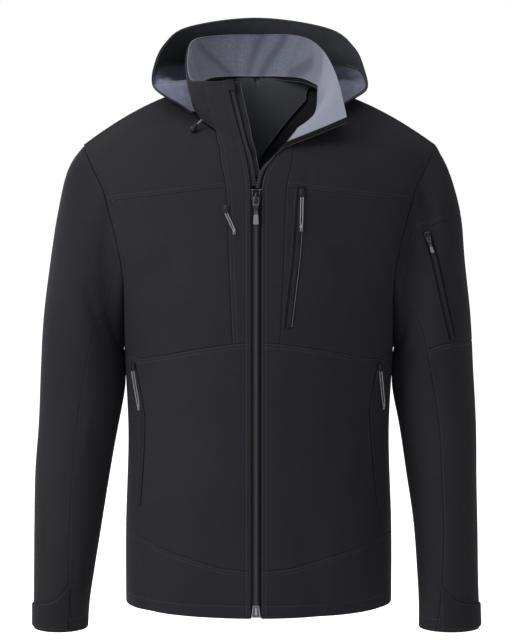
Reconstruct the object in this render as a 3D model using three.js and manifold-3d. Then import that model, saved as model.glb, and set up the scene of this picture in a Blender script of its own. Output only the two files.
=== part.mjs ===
// A men's hooded softshell jacket, filled out with no wearer: hood down, main zip open from the
// chest up, the wearer's left collar turned outward. Millimetres, +Z up, front towards -Y.
// The origin is at the middle of the shoulders, where a wearer holds the jacket up.
// "R" is the wearer's right (-X) and "L" the wearer's left (+X).
import * as THREE from 'three';
import { mergeVertices } from 'three/addons/utils/BufferGeometryUtils.js';
import Module from 'manifold-3d';

const wasm = await Module();
wasm.setup();

// Cloth and trim thicknesses, and the gaps between pieces
const WALL = 1.6;
const FLEECE = 1.5;
const TRIM = 1.1;
const SEAM_INSET = 0.16;
const LAYER_GAP = 0.35;
const SLEEVE_GAP = 1.0;
const FACING_GAP = 1.6;
// Half width of the main zip's band, and where the fronts' edges stand beside it
const ZIP_HALF = 6.3;
const FRONT_EDGE = 7;
// Heights of the closed main zip
const ZIP_SET = 0.6;
const ZIP_TOP = -101;
const ZIP_BOTTOM = -660;
const HEM = -679;
const CORD = 1.8;
const CORD_SIDES = 8;
// The filled form is a touch narrower on the wearer's right, as pressed and photographed
const SIDES = { R: -0.98, L: 1.02 };

// Colours seen on the cloth and trims
const COLOURS = {
  shell: '#2b2b30', shellDark: '#1d1d21', fleece: '#686c7b', zip: '#151517', cord: '#b9b9bd',
  metal: '#8b8b90', dark: '#101012',
};

const jacket = new THREE.Group();

// Cubic interpolation of named columns over rows that carry a place on the row axis. A row's
// corner holds the first letter of the columns that turn sharply there.
function track(rows, axis, at, key) {
  let i = 0;
  while (i < rows.length - 2 && rows[i + 1][axis] < at) i += 1;
  const a = rows[i];
  const b = rows[i + 1];
  const before = rows[Math.max(i - 1, 0)];
  const after = rows[Math.min(i + 2, rows.length - 1)];
  const span = b[axis] - a[axis];
  const u = (at - a[axis]) / span;
  const sharp = (row) => row.corner === key[0];
  const slopeA = sharp(a) ? b[key] - a[key] : (b[key] - before[key]) / (b[axis] - before[axis]) * span;
  const slopeB = sharp(b) ? b[key] - a[key] : (after[key] - a[key]) / (after[axis] - a[axis]) * span;
  const u2 = u * u;
  const u3 = u2 * u;
  return a[key] * (2 * u3 - 3 * u2 + 1) + slopeA * (u3 - 2 * u2 + u)
    + b[key] * (3 * u2 - 2 * u3) + slopeB * (u3 - u2);
}

// Body sections. Each row runs from an inner edge (centre line, then neckline) to an outer edge
// (side seam, then armhole, then shoulder tip). round is 1 for an elliptic row, 0 for a straight one,
// and lift raises the middle of the row.
const FRONT_ROWS = [
  { t: 0, ix: 0, iy: -136, iz: HEM, ox: 187, oy: 0, oz: HEM, round: 1, lift: 0 },
  { t: 1, ix: 0, iy: -139, iz: -573, ox: 187, oy: 0, oz: -573, round: 1, lift: 0 },
  { t: 2, ix: 0, iy: -137, iz: -440, ox: 183, oy: 0, oz: -440, round: 1, lift: 0 },
  { t: 3, ix: 0, iy: -139, iz: -322, ox: 188, oy: -5, oz: -322, round: 1, lift: 0, corner: 'o' },
  { t: 4, ix: 0, iy: -137, iz: -215, ox: 187, oy: -62, oz: -215, round: 0.9, lift: 0 },
  { t: 5, ix: 0, iy: -126, iz: -108, ox: 209, oy: -60, oz: -118, round: 0.8, lift: 0 },
  { t: 6, ix: 14, iy: -108, iz: -50, ox: 216, oy: -54, oz: -96, round: 0.7, lift: 4 },
  { t: 7, ix: 55, iy: -85, iz: -22, ox: 226, oy: -41, oz: -78, round: 0.5, lift: 8 },
  { t: 8, ix: 81, iy: -42, iz: 0, ox: 236, oy: -24, oz: -58, round: 0.4, lift: 10 },
  { t: 9, ix: 87, iy: 8, iz: 42, ox: 246, oy: 4, oz: -38, round: 0, lift: 10 },
];
const BACK_ROWS = [
  { t: 0, ix: 0, iy: 130, iz: HEM, ox: 187, oy: 0, oz: HEM, round: 1, lift: 0 },
  { t: 1, ix: 0, iy: 126, iz: -573, ox: 187, oy: 0, oz: -573, round: 1, lift: 0 },
  { t: 2, ix: 0, iy: 120, iz: -440, ox: 183, oy: 0, oz: -440, round: 1, lift: 0 },
  { t: 3, ix: 0, iy: 122, iz: -322, ox: 188, oy: -5, oz: -322, round: 1, lift: 0, corner: 'o' },
  { t: 4, ix: 0, iy: 122, iz: -215, ox: 190, oy: 58, oz: -215, round: 0.9, lift: 0 },
  { t: 5, ix: 0, iy: 112, iz: -100, ox: 208, oy: 57, oz: -118, round: 0.8, lift: 0 },
  { t: 6, ix: 0, iy: 82, iz: 58, ox: 217, oy: 51, oz: -96, round: 0.6, lift: 10, corner: 'i' },
  { t: 7, ix: 34, iy: 78, iz: 58, ox: 227, oy: 40, oz: -76, round: 0.4, lift: 14 },
  { t: 8, ix: 66, iy: 52, iz: 54, ox: 237, oy: 24, oz: -56, round: 0.2, lift: 12 },
  { t: 9, ix: 87, iy: 8, iz: 42, ox: 246, oy: 4, oz: -38, round: 0, lift: 10 },
];
const TOP_ROW = 9;
const UNDERARM_ROW = 3;
const YOKE_ROW = 5;

// Soft folds of the filled cloth, each a trough or ridge between two places seen from the front
const FRONT_FOLDS = [
  { side: 'L', x1: 138, z1: -345, x2: 150, z2: -520, width: 22, depth: 5 },
  { side: 'R', x1: 146, z1: -350, x2: 140, z2: -500, width: 24, depth: 4 },
  { side: 'R', x1: 170, z1: -612, x2: 150, z2: -679, width: 14, depth: 4 },
  { side: 'L', x1: 168, z1: -600, x2: 172, z2: -679, width: 14, depth: 3 },
  { side: 'L', x1: 70, z1: -560, x2: 82, z2: -679, width: 20, depth: 3 },
  { side: 'R', x1: 178, z1: -235, x2: 120, z2: -205, width: 22, depth: 5 },
  { side: 'L', x1: 176, z1: -240, x2: 122, z2: -200, width: 22, depth: 5 },
];

function foldDepth(side, x, z) {
  let depth = 0;
  for (const fold of FRONT_FOLDS) {
    if (fold.side !== side) continue;
    const dx = fold.x2 - fold.x1;
    const dz = fold.z2 - fold.z1;
    const along = THREE.MathUtils.clamp(
      ((x - fold.x1) * dx + (z - fold.z1) * dz) / (dx * dx + dz * dz), 0, 1);
    const away = Math.hypot(x - fold.x1 - along * dx, z - fold.z1 - along * dz) / fold.width;
    depth += fold.depth * Math.exp(-away * away);
  }
  return depth;
}

// One half of the front or back. s runs 0 to 1 from the inner to the outer edge, t along the rows.
class BodyHalf {
  constructor(rows, side, facing) {
    this.rows = rows;
    this.side = side;
    this.facing = facing;
  }

  nominal(s, t) {
    const row = (key) => track(this.rows, 't', t, key);
    const round = row('round');
    const angle = s * Math.PI / 2;
    const across = (1 - round) * s + round * Math.sin(angle);
    const deep = (1 - round) * (1 - s) + round * Math.cos(angle);
    const rise = row('lift') * 4 * s * (1 - s);
    return new THREE.Vector3(
      row('ix') + (row('ox') - row('ix')) * across,
      row('oy') + (row('iy') - row('oy')) * deep,
      row('iz') + (row('oz') - row('iz')) * s + rise);
  }

  point(s, t) {
    const p = this.nominal(s, t);
    if (this.facing === 'front') {
      const fade = Math.min(1, s * 8) * Math.min(1, (1 - s) * 4);
      p.y += foldDepth(this.side, p.x, p.z) * fade;
    }
    p.x *= SIDES[this.side];
    return p;
  }

  plainNormal(s, t) {
    const step = 1e-3;
    const s0 = Math.max(0, s - step);
    const s1 = Math.min(1, s + step);
    const t0 = Math.max(0, t - step);
    const t1 = Math.min(TOP_ROW, t + step);
    const alongS = this.point(s1, t).sub(this.point(s0, t));
    const alongT = this.point(s, t1).sub(this.point(s, t0));
    const turn = Math.sign(SIDES[this.side]) * (this.facing === 'front' ? 1 : -1);
    return alongS.cross(alongT).normalize().multiplyScalar(turn);
  }

  // At the side and shoulder seams the front and back share one direction
  normal(s, t) {
    const own = this.plainNormal(s, t);
    const shared = t > TOP_ROW - 1e-6 || (s > 1 - 1e-6 && t < UNDERARM_ROW + 1e-6);
    if (!shared || !this.partner) return own;
    return own.add(this.partner.plainNormal(s, t)).normalize();
  }

  at([s, t]) {
    return { p: this.point(s, t), n: this.normal(s, t) };
  }

  // The place (s, t) that shows at x, z from the front, with x taken before the side's stretch
  locate(x, z) {
    const placeAcross = (t) => {
      let low = 0;
      let high = 1;
      for (let i = 0; i < 24; i += 1) {
        const middle = (low + high) / 2;
        if (this.nominal(middle, t).x < x) low = middle;
        else high = middle;
      }
      return (low + high) / 2;
    };
    let low = 0;
    let high = TOP_ROW;
    for (let i = 0; i < 24; i += 1) {
      const middle = (low + high) / 2;
      if (this.nominal(placeAcross(middle), middle).z < z) low = middle;
      else high = middle;
    }
    const t = (low + high) / 2;
    return [placeAcross(t), t];
  }
}

const FRONT = {};
const BACK = {};
for (const side of ['R', 'L']) {
  FRONT[side] = new BodyHalf(FRONT_ROWS, side, 'front');
  BACK[side] = new BodyHalf(BACK_ROWS, side, 'back');
  FRONT[side].partner = BACK[side];
  BACK[side].partner = FRONT[side];
}

// Evenly spaced samples along a smooth line through flat [s, t] places
function along(places, count) {
  const line = new THREE.CatmullRomCurve3(places.map(([s, t]) => new THREE.Vector3(s, t, 0)),
    false, 'catmullrom');
  return Array.from({ length: count + 1 }, (_, i) => {
    const p = line.getPoint(i / count);
    return [p.x, p.y];
  });
}

// A seam named by what shows from the front, as samples in s and t
const seam = (half, shown, count) => along(shown.map(([x, z]) => half.locate(x, z)), count);
const straight = ([s0, t0], [s1, t1], count) => Array.from({ length: count + 1 }, (_, i) => (
  [s0 + (s1 - s0) * i / count, t0 + (t1 - t0) * i / count]));
const join = (...runs) => runs.reduce((all, run) => all.concat(run.slice(all.length ? 1 : 0)), []);

// Fills four sampled edges with a grid of places, rows from bottom to top
function fill(bottom, top, inner, outer) {
  const columns = bottom.length - 1;
  const rows = inner.length - 1;
  const corner = [bottom[0], bottom[columns], top[0], top[columns]];
  return inner.map((_, i) => bottom.map((__, j) => {
    const f = j / columns;
    const g = i / rows;
    return [0, 1].map((k) => (1 - g) * bottom[j][k] + g * top[j][k]
      + (1 - f) * inner[i][k] + f * outer[i][k]
      - (1 - f) * (1 - g) * corner[0][k] - f * (1 - g) * corner[1][k]
      - (1 - f) * g * corner[2][k] - f * g * corner[3][k]);
  }));
}

// Draws the rim of a grid in by the seam inset, so that neighbours stay apart
function insetRim(grid, inset) {
  const rows = grid.length - 1;
  const columns = grid[0].length - 1;
  const moved = grid.map((row) => row.map((cell) => ({ p: cell.p.clone(), n: cell.n })));
  const pull = (i, j, k, l, before, after) => {
    const rim = after.p.clone().sub(before.p).normalize();
    const step = grid[k][l].p.clone().sub(grid[i][j].p);
    step.addScaledVector(rim, -step.dot(rim));
    if (step.length() > 1e-6) moved[i][j].p.add(step.normalize().multiplyScalar(inset));
  };
  for (let j = 0; j <= columns; j += 1) {
    const before = Math.max(j - 1, 0);
    const after = Math.min(j + 1, columns);
    pull(0, j, 1, j, grid[0][before], grid[0][after]);
    pull(rows, j, rows - 1, j, grid[rows][before], grid[rows][after]);
  }
  for (let i = 0; i <= rows; i += 1) {
    const before = Math.max(i - 1, 0);
    const after = Math.min(i + 1, rows);
    pull(i, 0, i, 1, grid[before][0], grid[after][0]);
    pull(i, columns, i, columns - 1, grid[before][columns], grid[after][columns]);
  }
  return moved;
}

// Directions at each point of a grid that has none of its own
function withNormals(points, sign) {
  const rows = points.length - 1;
  const columns = points[0].length - 1;
  return points.map((row, i) => row.map((p, j) => {
    const across = row[Math.min(j + 1, columns)].clone().sub(row[Math.max(j - 1, 0)]);
    const up = points[Math.min(i + 1, rows)][j].clone().sub(points[Math.max(i - 1, 0)][j]);
    return { p, n: across.cross(up).normalize().multiplyScalar(sign) };
  }));
}

const lifted = (grid, lift) => grid.map((row) => row.map((cell) => (
  { p: cell.p.clone().addScaledVector(cell.n, lift), n: cell.n })));

function addMesh(name, geometry, colour, roughness = 0.85, metalness = 0) {
  const material = new THREE.MeshStandardMaterial({ color: colour, roughness, metalness });
  const mesh = new THREE.Mesh(geometry, material);
  mesh.name = name;
  jacket.add(mesh);
  return mesh;
}

// A cloth wall: the grid is its outer face, the inner face lies inward by its thickness
function wallGeometry(grid, thickness) {
  const rows = grid.length;
  const columns = grid[0].length;
  const positions = [];
  for (const layer of [0, thickness]) {
    for (const row of grid) {
      for (const { p, n } of row) {
        positions.push(p.x - n.x * layer, p.y - n.y * layer, p.z - n.z * layer);
      }
    }
  }
  const id = (layer, i, j) => layer * rows * columns + i * columns + j;
  let outward = 0;
  for (let i = 0; i < rows - 1; i += 1) {
    for (let j = 0; j < columns - 1; j += 1) {
      const corner = grid[i][j];
      const right = grid[i][j + 1].p.clone().sub(corner.p);
      outward += right.cross(grid[i + 1][j].p.clone().sub(corner.p)).dot(corner.n);
    }
  }
  const facesOut = outward > 0;
  const index = [];
  const quad = (p, q, r, s) => (facesOut ? index.push(p, q, r, p, r, s) : index.push(p, r, q, p, s, r));
  for (let i = 0; i < rows - 1; i += 1) {
    for (let j = 0; j < columns - 1; j += 1) {
      quad(id(0, i, j), id(0, i, j + 1), id(0, i + 1, j + 1), id(0, i + 1, j));
      quad(id(1, i, j), id(1, i + 1, j), id(1, i + 1, j + 1), id(1, i, j + 1));
    }
  }
  for (let j = 0; j < columns - 1; j += 1) {
    quad(id(0, 0, j + 1), id(0, 0, j), id(1, 0, j), id(1, 0, j + 1));
    quad(id(0, rows - 1, j), id(0, rows - 1, j + 1), id(1, rows - 1, j + 1), id(1, rows - 1, j));
  }
  for (let i = 0; i < rows - 1; i += 1) {
    quad(id(0, i, 0), id(0, i + 1, 0), id(1, i + 1, 0), id(1, i, 0));
    quad(id(0, i + 1, columns - 1), id(0, i, columns - 1), id(1, i, columns - 1),
      id(1, i + 1, columns - 1));
  }
  const geometry = new THREE.BufferGeometry();
  geometry.setAttribute('position', new THREE.Float32BufferAttribute(positions, 3));
  geometry.setIndex(index);
  geometry.computeVertexNormals();
  return geometry;
}

const addWall = (name, grid, colour = COLOURS.shell, thickness = WALL) => (
  addMesh(name, wallGeometry(insetRim(grid, SEAM_INSET), thickness), colour));
const onHalf = (half, places) => places.map((row) => row.map((place) => half.at(place)));

// Seams of the fronts as [x, z] seen from the front, outward from the zip
const WAIST_SEAM = [[31, -307], [76, -314], [120, -323], [160, -332]];
const HEM_SEAM = [[FRONT_EDGE, -614], [50, -610], [93, -599], [132, -589], [154, -579]];
const YOKE_SEAM = [[41, -97], [76, -101], [125, -107], [172, -112]];
const PRINCESS_LOW = [[31, -307], [33, -288], [37, -190], [41, -97]];
const PRINCESS_HIGH = [[41, -97], [48, -62], [52, -38]];
// The open front edges above the slider
const OPEN_EDGE = {
  R: [[FRONT_EDGE, -100], [8.5, -87], [10.5, -74], [13, -61], [16, -49]],
  L: [[FRONT_EDGE, -100], [10, -84], [16, -70], [28, -54], [42, -38]],
};
// Grid counts that neighbours share
const CHEST_COLUMNS = 6;
const STRIP_COLUMNS = 2;
const CHEST_ROWS = 6;
const YOKE_ROWS = 8;
const NECK_ROWS = 4;
const PRINCESS_ROWS = 4;
const LOWER_ROWS = 8;
const HEM_ROWS = 3;
const COLLAR_ROWS = 3;

const fronts = {};
function buildFront(side) {
  const half = FRONT[side];
  const waistOut = join(seam(half, WAIST_SEAM, CHEST_COLUMNS - 1), [half.locate(160, -332), [1, 3]]);
  const waistIn = seam(half, [[FRONT_EDGE, -305], [31, -307]], STRIP_COLUMNS);
  const yoke = join(seam(half, YOKE_SEAM, CHEST_COLUMNS - 1), [half.locate(172, -112), [1, YOKE_ROW]]);
  const hemSeam = join(seam(half, HEM_SEAM, CHEST_COLUMNS + STRIP_COLUMNS - 1),
    [half.locate(154, -579), [1, 1]]);
  const low = seam(half, PRINCESS_LOW, CHEST_ROWS);
  const high = along([...PRINCESS_HIGH.map(([x, z]) => half.locate(x, z)), [0, 7]], PRINCESS_ROWS);
  const edgeLine = (from, to, rows) => straight([FRONT_EDGE, from], [FRONT_EDGE, to], rows)
    .map(([x, z]) => half.locate(x, z));
  const hemLine = straight(half.locate(FRONT_EDGE, HEM + 0.01), [1, 0], CHEST_COLUMNS + STRIP_COLUMNS);
  hemLine.forEach((place) => { place[1] = 0; });

  const lower = fill(hemSeam, join(waistIn, waistOut), edgeLine(-614, -305, LOWER_ROWS),
    straight([1, 1], [1, UNDERARM_ROW], LOWER_ROWS));
  const hem = fill(hemLine, hemSeam, edgeLine(HEM, -614, HEM_ROWS), straight([1, 0], [1, 1], HEM_ROWS));
  hem[0].forEach((place) => { place[1] = 0; });
  const chest = fill(waistOut, yoke, low, straight([1, UNDERARM_ROW], [1, YOKE_ROW], CHEST_ROWS));
  const shoulder = fill(yoke, straight([0, TOP_ROW], [1, TOP_ROW], CHEST_COLUMNS),
    join(high, straight([0, 7], [0, TOP_ROW], NECK_ROWS)),
    straight([1, YOKE_ROW], [1, TOP_ROW], YOKE_ROWS));
  const openEdge = seam(half, OPEN_EDGE[side], PRINCESS_ROWS);
  const across = (a, b) => straight(a, b, STRIP_COLUMNS);
  const stripLow = fill(waistIn, across(half.locate(FRONT_EDGE, -100), low[CHEST_ROWS]),
    edgeLine(-305, -100, CHEST_ROWS), low);
  const stripHigh = fill(across(openEdge[0], high[0]), across(openEdge[PRINCESS_ROWS], [0, 7]),
    openEdge, high);
  fronts[side] = { half, stripTop: stripHigh[PRINCESS_ROWS] };

  addWall(`front_lower_${side}`, onHalf(half, lower));
  addWall(`front_hem_${side}`, onHalf(half, hem));
  addWall(`front_chest_${side}`, onHalf(half, chest));
  addWall(`front_yoke_${side}`, onHalf(half, shoulder));
  fronts[side].strip = join(stripLow, stripHigh).map((row) => row.map((place) => half.at(place)));
}

// The back pieces cross the centre line: both halves are filled and joined at s = 0
const BACK_COLUMNS = 9;
const BACK_NECK_COLUMNS = 3;
function acrossBack(placesOf) {
  const right = onHalf(BACK.R, placesOf);
  const left = onHalf(BACK.L, placesOf);
  return right.map((row, i) => {
    const joined = [...row].reverse().concat(left[i].slice(1));
    const centre = joined[row.length - 1];
    centre.n = row[0].n.clone().add(left[i][0].n).normalize();
    return joined;
  });
}
const backRow = (t) => straight([0, t], [1, t], BACK_COLUMNS);
const backYoke = fill(backRow(YOKE_ROW),
  join(straight([0, 6], [0, TOP_ROW], BACK_NECK_COLUMNS),
    straight([0, TOP_ROW], [1, TOP_ROW], CHEST_COLUMNS)),
  straight([0, YOKE_ROW], [0, 6], YOKE_ROWS), straight([1, YOKE_ROW], [1, TOP_ROW], YOKE_ROWS));

function buildBack() {
  const bodyRows = join(straight([0, 1], [0, UNDERARM_ROW], LOWER_ROWS),
    straight([0, UNDERARM_ROW], [0, YOKE_ROW], CHEST_ROWS));
  addWall('back_hem', acrossBack(straight([0, 0], [0, 1], HEM_ROWS).map(([, t]) => backRow(t))));
  addWall('back_body', acrossBack(bodyRows.map(([, t]) => backRow(t))));
  addWall('back_yoke', acrossBack(backYoke));
  // The plain facing inside the back of the neck, on the inner side of the yoke
  const facing = acrossBack(backYoke.slice(2).map((row) => row.slice(0, BACK_NECK_COLUMNS + 1)));
  addWall('back_neck_facing', insetRim(lifted(facing, -WALL - FACING_GAP), 2), COLOURS.dark, TRIM);
}

// Collar columns: q runs from the wearer's right zip edge round the back to the left zip edge
const COLLAR_TOP = [
  { q: -1, x: -40, y: -95, z: 46 }, { q: 0, x: -73, y: -84, z: 46 },
  { q: 1, x: -93, y: -48, z: 52 }, { q: 2, x: -98, y: 8, z: 86 },
  { q: 3.4, x: -88, y: 60, z: 112 }, { q: 4.3, x: -45, y: 90, z: 120 },
  { q: 5, x: 0, y: 97, z: 121 }, { q: 5.7, x: 42, y: 90, z: 121 },
  { q: 6.6, x: 73, y: 63, z: 114 }, { q: 8, x: 96, y: 18, z: 94 },
  { q: 9, x: 110, y: -28, z: 63 }, { q: 10, x: 118, y: -62, z: 24 },
  { q: 11, x: 123, y: -88, z: -5 },
];
const COLLAR_SPAN = [0, 0.5, 1, 1.5, 2, 3, 4, 5, 6, 7, 8, 8.5, 9, 9.5, 10];
const COLLAR_LIFT = 0.5;
const COLLAR_BOW = 4;

// The neckline point of a collar column
function neckline(q) {
  const strip = (side, share) => {
    const top = fronts[side].stripTop;
    const [s0, t0] = top[0];
    const [s1, t1] = top[top.length - 1];
    return fronts[side].half.point(s0 + (s1 - s0) * share, t0 + (t1 - t0) * share);
  };
  if (q < 0) return strip('R', q + 1);
  if (q <= 2) return FRONT.R.point(0, 7 + q);
  if (q <= 5) return BACK.R.point(0, 11 - q);
  if (q <= 8) return BACK.L.point(0, 1 + q);
  if (q <= 10) return FRONT.L.point(0, 17 - q);
  return strip('L', 11 - q);
}

function collarPoint(q, h) {
  const low = neckline(q);
  const high = new THREE.Vector3(...['x', 'y', 'z'].map((key) => track(COLLAR_TOP, 'q', q, key)));
  const up = high.clone().sub(low).normalize();
  const bow = COLLAR_BOW * 4 * h * (1 - h);
  const out = new THREE.Vector3(low.x, low.y, 0).normalize();
  return low.lerp(high, h).addScaledVector(up, COLLAR_LIFT * (1 - h)).addScaledVector(out, bow);
}

const collarGrid = (columns, heights) => withNormals(
  heights.map((h) => columns.map((q) => collarPoint(q, h))), -1);
const steps = (from, to, count) => Array.from({ length: count + 1 },
  (_, i) => from + (to - from) * i / count);

function buildCollar() {
  const heights = steps(0, 1, COLLAR_ROWS);
  const wide = [-1, -0.5, ...COLLAR_SPAN, 10.5, 11];
  const whole = collarGrid(wide, heights);
  const part = (from, to) => whole.map((row) => row.slice(wide.indexOf(from), wide.indexOf(to) + 1));
  const rise = (strip, rows) => [...strip, ...rows.slice(1)];
  fronts.R.full = rise(fronts.R.strip, part(-1, 0));
  // The left one folds outward at the neckline, where strip and collar share their mean direction
  const { strip } = fronts.L;
  const last = strip[strip.length - 1];
  const turned = part(10, 11).map((row) => [...row].reverse());
  const rowWay = last[STRIP_COLUMNS].p.clone().sub(last[0].p).normalize();
  const fold = last.map(({ p, n }, j) => (
    { p, n: n.clone().add(turned[0][j].n).projectOnPlane(rowWay).normalize() }));
  fronts.L.full = rise([...strip.slice(0, -1), fold], turned);
  for (const side of ['R', 'L']) addWall(`front_centre_${side}`, fronts[side].full);
  const lining = lifted(part(-0.5, 11), -WALL - FACING_GAP);
  addWall('collar_lining', insetRim(lining, 2), COLOURS.fleece, FLEECE);
  whole[0][wide.indexOf(10)] = fold[STRIP_COLUMNS];
  addWall('collar_shell', insetRim(part(0, 10), LAYER_GAP * 3));
}

// The hood lies back off the shoulders: each section leaves the neck seam, drops into a bag and
// rises to the free edge. deep, back and out are how far the bag reaches down, back and sideways.
const HOOD_ROWS = [
  { q: 0.8, x: -80, y: -66, z: -4, deep: 0, back: 0, out: 0 },
  { q: 1.1, x: -101, y: -50, z: 12, deep: 0, back: 2, out: 2 },
  { q: 1.6, x: -127, y: -28, z: 27, deep: 0, back: 8, out: 9 },
  { q: 2.2, x: -144, y: 10, z: 44, deep: 4, back: 14, out: 17 },
  { q: 2.8, x: -145, y: 46, z: 72, deep: 22, back: 40, out: 22 },
  { q: 3.5, x: -132, y: 76, z: 106, deep: 70, back: 88, out: 19 },
  { q: 4.2, x: -98, y: 98, z: 133, deep: 130, back: 116, out: 5 },
  { q: 5, x: 2, y: 112, z: 147, deep: 155, back: 124, out: 0 },
  { q: 5.8, x: 104, y: 98, z: 131, deep: 130, back: 116, out: 5 },
  { q: 6.5, x: 141, y: 76, z: 102, deep: 70, back: 88, out: 18 },
  { q: 7.2, x: 154, y: 46, z: 68, deep: 20, back: 40, out: 18 },
  { q: 7.8, x: 156, y: 8, z: 40, deep: 2, back: 14, out: 12 },
  { q: 8.4, x: 137, y: -28, z: 24, deep: 0, back: 8, out: 6 },
  { q: 8.9, x: 112, y: -48, z: 10, deep: 0, back: 2, out: 2 },
  { q: 9.2, x: 90, y: -60, z: 0, deep: 0, back: 0, out: 0 },
];
const HOOD_FROM = 0.8;
const HOOD_TO = 9.2;
const HOOD_STAND = 7;
const HOOD_LIFT = 6;
const BRIM_FROM = 0.86;

function hoodPoint(q, v) {
  const row = (key) => track(HOOD_ROWS, 'q', q, key);
  const foot = neckline(q);
  const out = new THREE.Vector3(foot.x, foot.y, 0).normalize();
  const start = foot.addScaledVector(out, HOOD_STAND).add(new THREE.Vector3(0, 0, HOOD_LIFT));
  const end = new THREE.Vector3(row('x'), row('y'), row('z'));
  const side = new THREE.Vector3(Math.sign(end.x) * row('out'), 0, 0);
  const a = start.clone().lerp(end, 0.25).addScaledVector(side, 0.3);
  a.z -= row('deep') * 0.8;
  a.y += row('back') * 0.35;
  const b = start.clone().lerp(end, 0.8).add(side);
  b.z -= row('deep');
  b.y += row('back');
  return new THREE.CubicBezierCurve3(start, a, b, end).getPoint(v);
}

const HOOD_SHARE = 0.3;
function buildHood() {
  const grid = (columns, heights) => withNormals(
    heights.map((v) => columns.map((q) => hoodPoint(q, v))), -1);
  const bounds = [HOOD_FROM, 5 - (HOOD_TO - HOOD_FROM) * HOOD_SHARE / 2,
    5 + (HOOD_TO - HOOD_FROM) * HOOD_SHARE / 2, HOOD_TO];
  const names = ['hood_side_R', 'hood_centre', 'hood_side_L'];
  const counts = [7, 5, 7];
  const trimmed = HOOD_FROM + 0.12;
  const columns = names.map((_, k) => steps(bounds[k], bounds[k + 1], counts[k]));
  columns[0][0] = trimmed;
  columns[2][counts[2]] = HOOD_TO - 0.12;
  const all = join(...columns.map((run) => run.map((q) => [q]))).map(([q]) => q);
  const low = steps(0, BRIM_FROM, 7);
  const shell = grid(all, [...low, (1 + BRIM_FROM) / 2, 1]);
  const lining = lifted(shell, -WALL - LAYER_GAP * 2);
  let from = 0;
  names.forEach((name, k) => {
    addWall(name, insetRim(shell.map((row) => row.slice(from, from + counts[k] + 1)), SEAM_INSET));
    from += counts[k];
  });
  addWall('hood_lining', insetRim(lining.slice(0, low.length), 1), COLOURS.fleece, TRIM);
  addWall('hood_brim_facing', lining.slice(low.length - 1), COLOURS.dark, TRIM);
}

// Sleeve sections, from just outside the armhole to the cuff: the outer and inner edge as seen
// from the front, the depth of the middle line and half the depth of the tube
const SLEEVE_ROWS = {
  R: [
    { v: 1, ox: 262, oz: -73, ix: 187, iz: -327, y: 0, half: 62 },
    { v: 2, ox: 277, oz: -136, ix: 187, iz: -330, y: 0, half: 66 },
    { v: 3, ox: 288, oz: -202, ix: 187, iz: -336, y: 0, half: 67 },
    { v: 4, ox: 297, oz: -276, ix: 187, iz: -348, y: -1, half: 65 },
    { v: 5, ox: 301, oz: -346, ix: 188, iz: -378, y: -3, half: 60 },
    { v: 6, ox: 304, oz: -423, ix: 194, iz: -426, y: -7, half: 56 },
    { v: 7, ox: 309, oz: -493, ix: 204, iz: -492, y: -13, half: 53 },
    { v: 8, ox: 310, oz: -563, ix: 215, iz: -563, y: -21, half: 49 },
    { v: 9, ox: 310, oz: -633, ix: 226, iz: -633, y: -30, half: 45 },
    { v: 10, ox: 310, oz: -675, ix: 232, iz: -675, y: -35, half: 43 },
    { v: 11, ox: 310, oz: -709, ix: 234, iz: -709, y: -38, half: 42 },
  ],
  L: [
    { v: 1, ox: 268, oz: -73, ix: 194.5, iz: -327, y: 0, half: 62 },
    { v: 2, ox: 285, oz: -132, ix: 194.5, iz: -330, y: 0, half: 66 },
    { v: 3, ox: 292, oz: -202, ix: 194.5, iz: -336, y: 0, half: 67 },
    { v: 4, ox: 300, oz: -276, ix: 194.5, iz: -348, y: -1, half: 65 },
    { v: 5, ox: 304, oz: -346, ix: 195.5, iz: -378, y: -3, half: 60 },
    { v: 6, ox: 308, oz: -423, ix: 202, iz: -426, y: -7, half: 56 },
    { v: 7, ox: 309, oz: -493, ix: 210, iz: -492, y: -13, half: 53 },
    { v: 8, ox: 310, oz: -563, ix: 220, iz: -563, y: -21, half: 49 },
    { v: 9, ox: 310, oz: -633, ix: 225, iz: -633, y: -30, half: 45 },
    { v: 10, ox: 311, oz: -675, ix: 227, iz: -675, y: -35, half: 43 },
    { v: 11, ox: 312, oz: -709, ix: 227, iz: -709, y: -38, half: 42 },
  ],
};
// Where the front and back sleeve seams run round the tube, in degrees from the outer edge
const SLEEVE_SEAMS = [
  { v: 0, front: 129, back: 129 }, { v: 2, front: 116, back: 122 }, { v: 4, front: 104, back: 116 },
  { v: 6, front: 93, back: 112 }, { v: 8, front: 98, back: 112 }, { v: 11, front: 120, back: 118 },
];
const ARMHOLE_STEPS = 14;
const UPPER_STEPS = 10;
const UNDER_STEPS = 8;
const SLEEVE_STATIONS = [0, 0.5, 1, 2, 3, 4, 5, 6, 7, 8, 9, 10, 11];

// The armhole's edge point at so many degrees from the shoulder tip, front first
function armholePoint(side, degrees) {
  const turned = degrees > 180 ? 360 - degrees : Math.abs(degrees);
  const half = degrees >= 0 && degrees <= 180 ? FRONT[side] : BACK[side];
  const step = turned / 180 * ARMHOLE_STEPS;
  const t = step <= YOKE_ROWS ? TOP_ROW - step / 2 : YOKE_ROW - (step - YOKE_ROWS) / 3;
  return half.point(1, Math.max(t, UNDERARM_ROW));
}

function sleeveRing(side, row, degrees) {
  const angle = THREE.MathUtils.degToRad(degrees);
  const cos = Math.cos(angle);
  const x = (row.ox + row.ix) / 2 + (row.ox - row.ix) / 2 * cos;
  const z = (row.oz + row.iz) / 2 + (row.oz - row.iz) / 2 * cos;
  return new THREE.Vector3(Math.sign(SIDES[side]) * x, row.y - row.half * Math.sin(angle), z);
}

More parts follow.
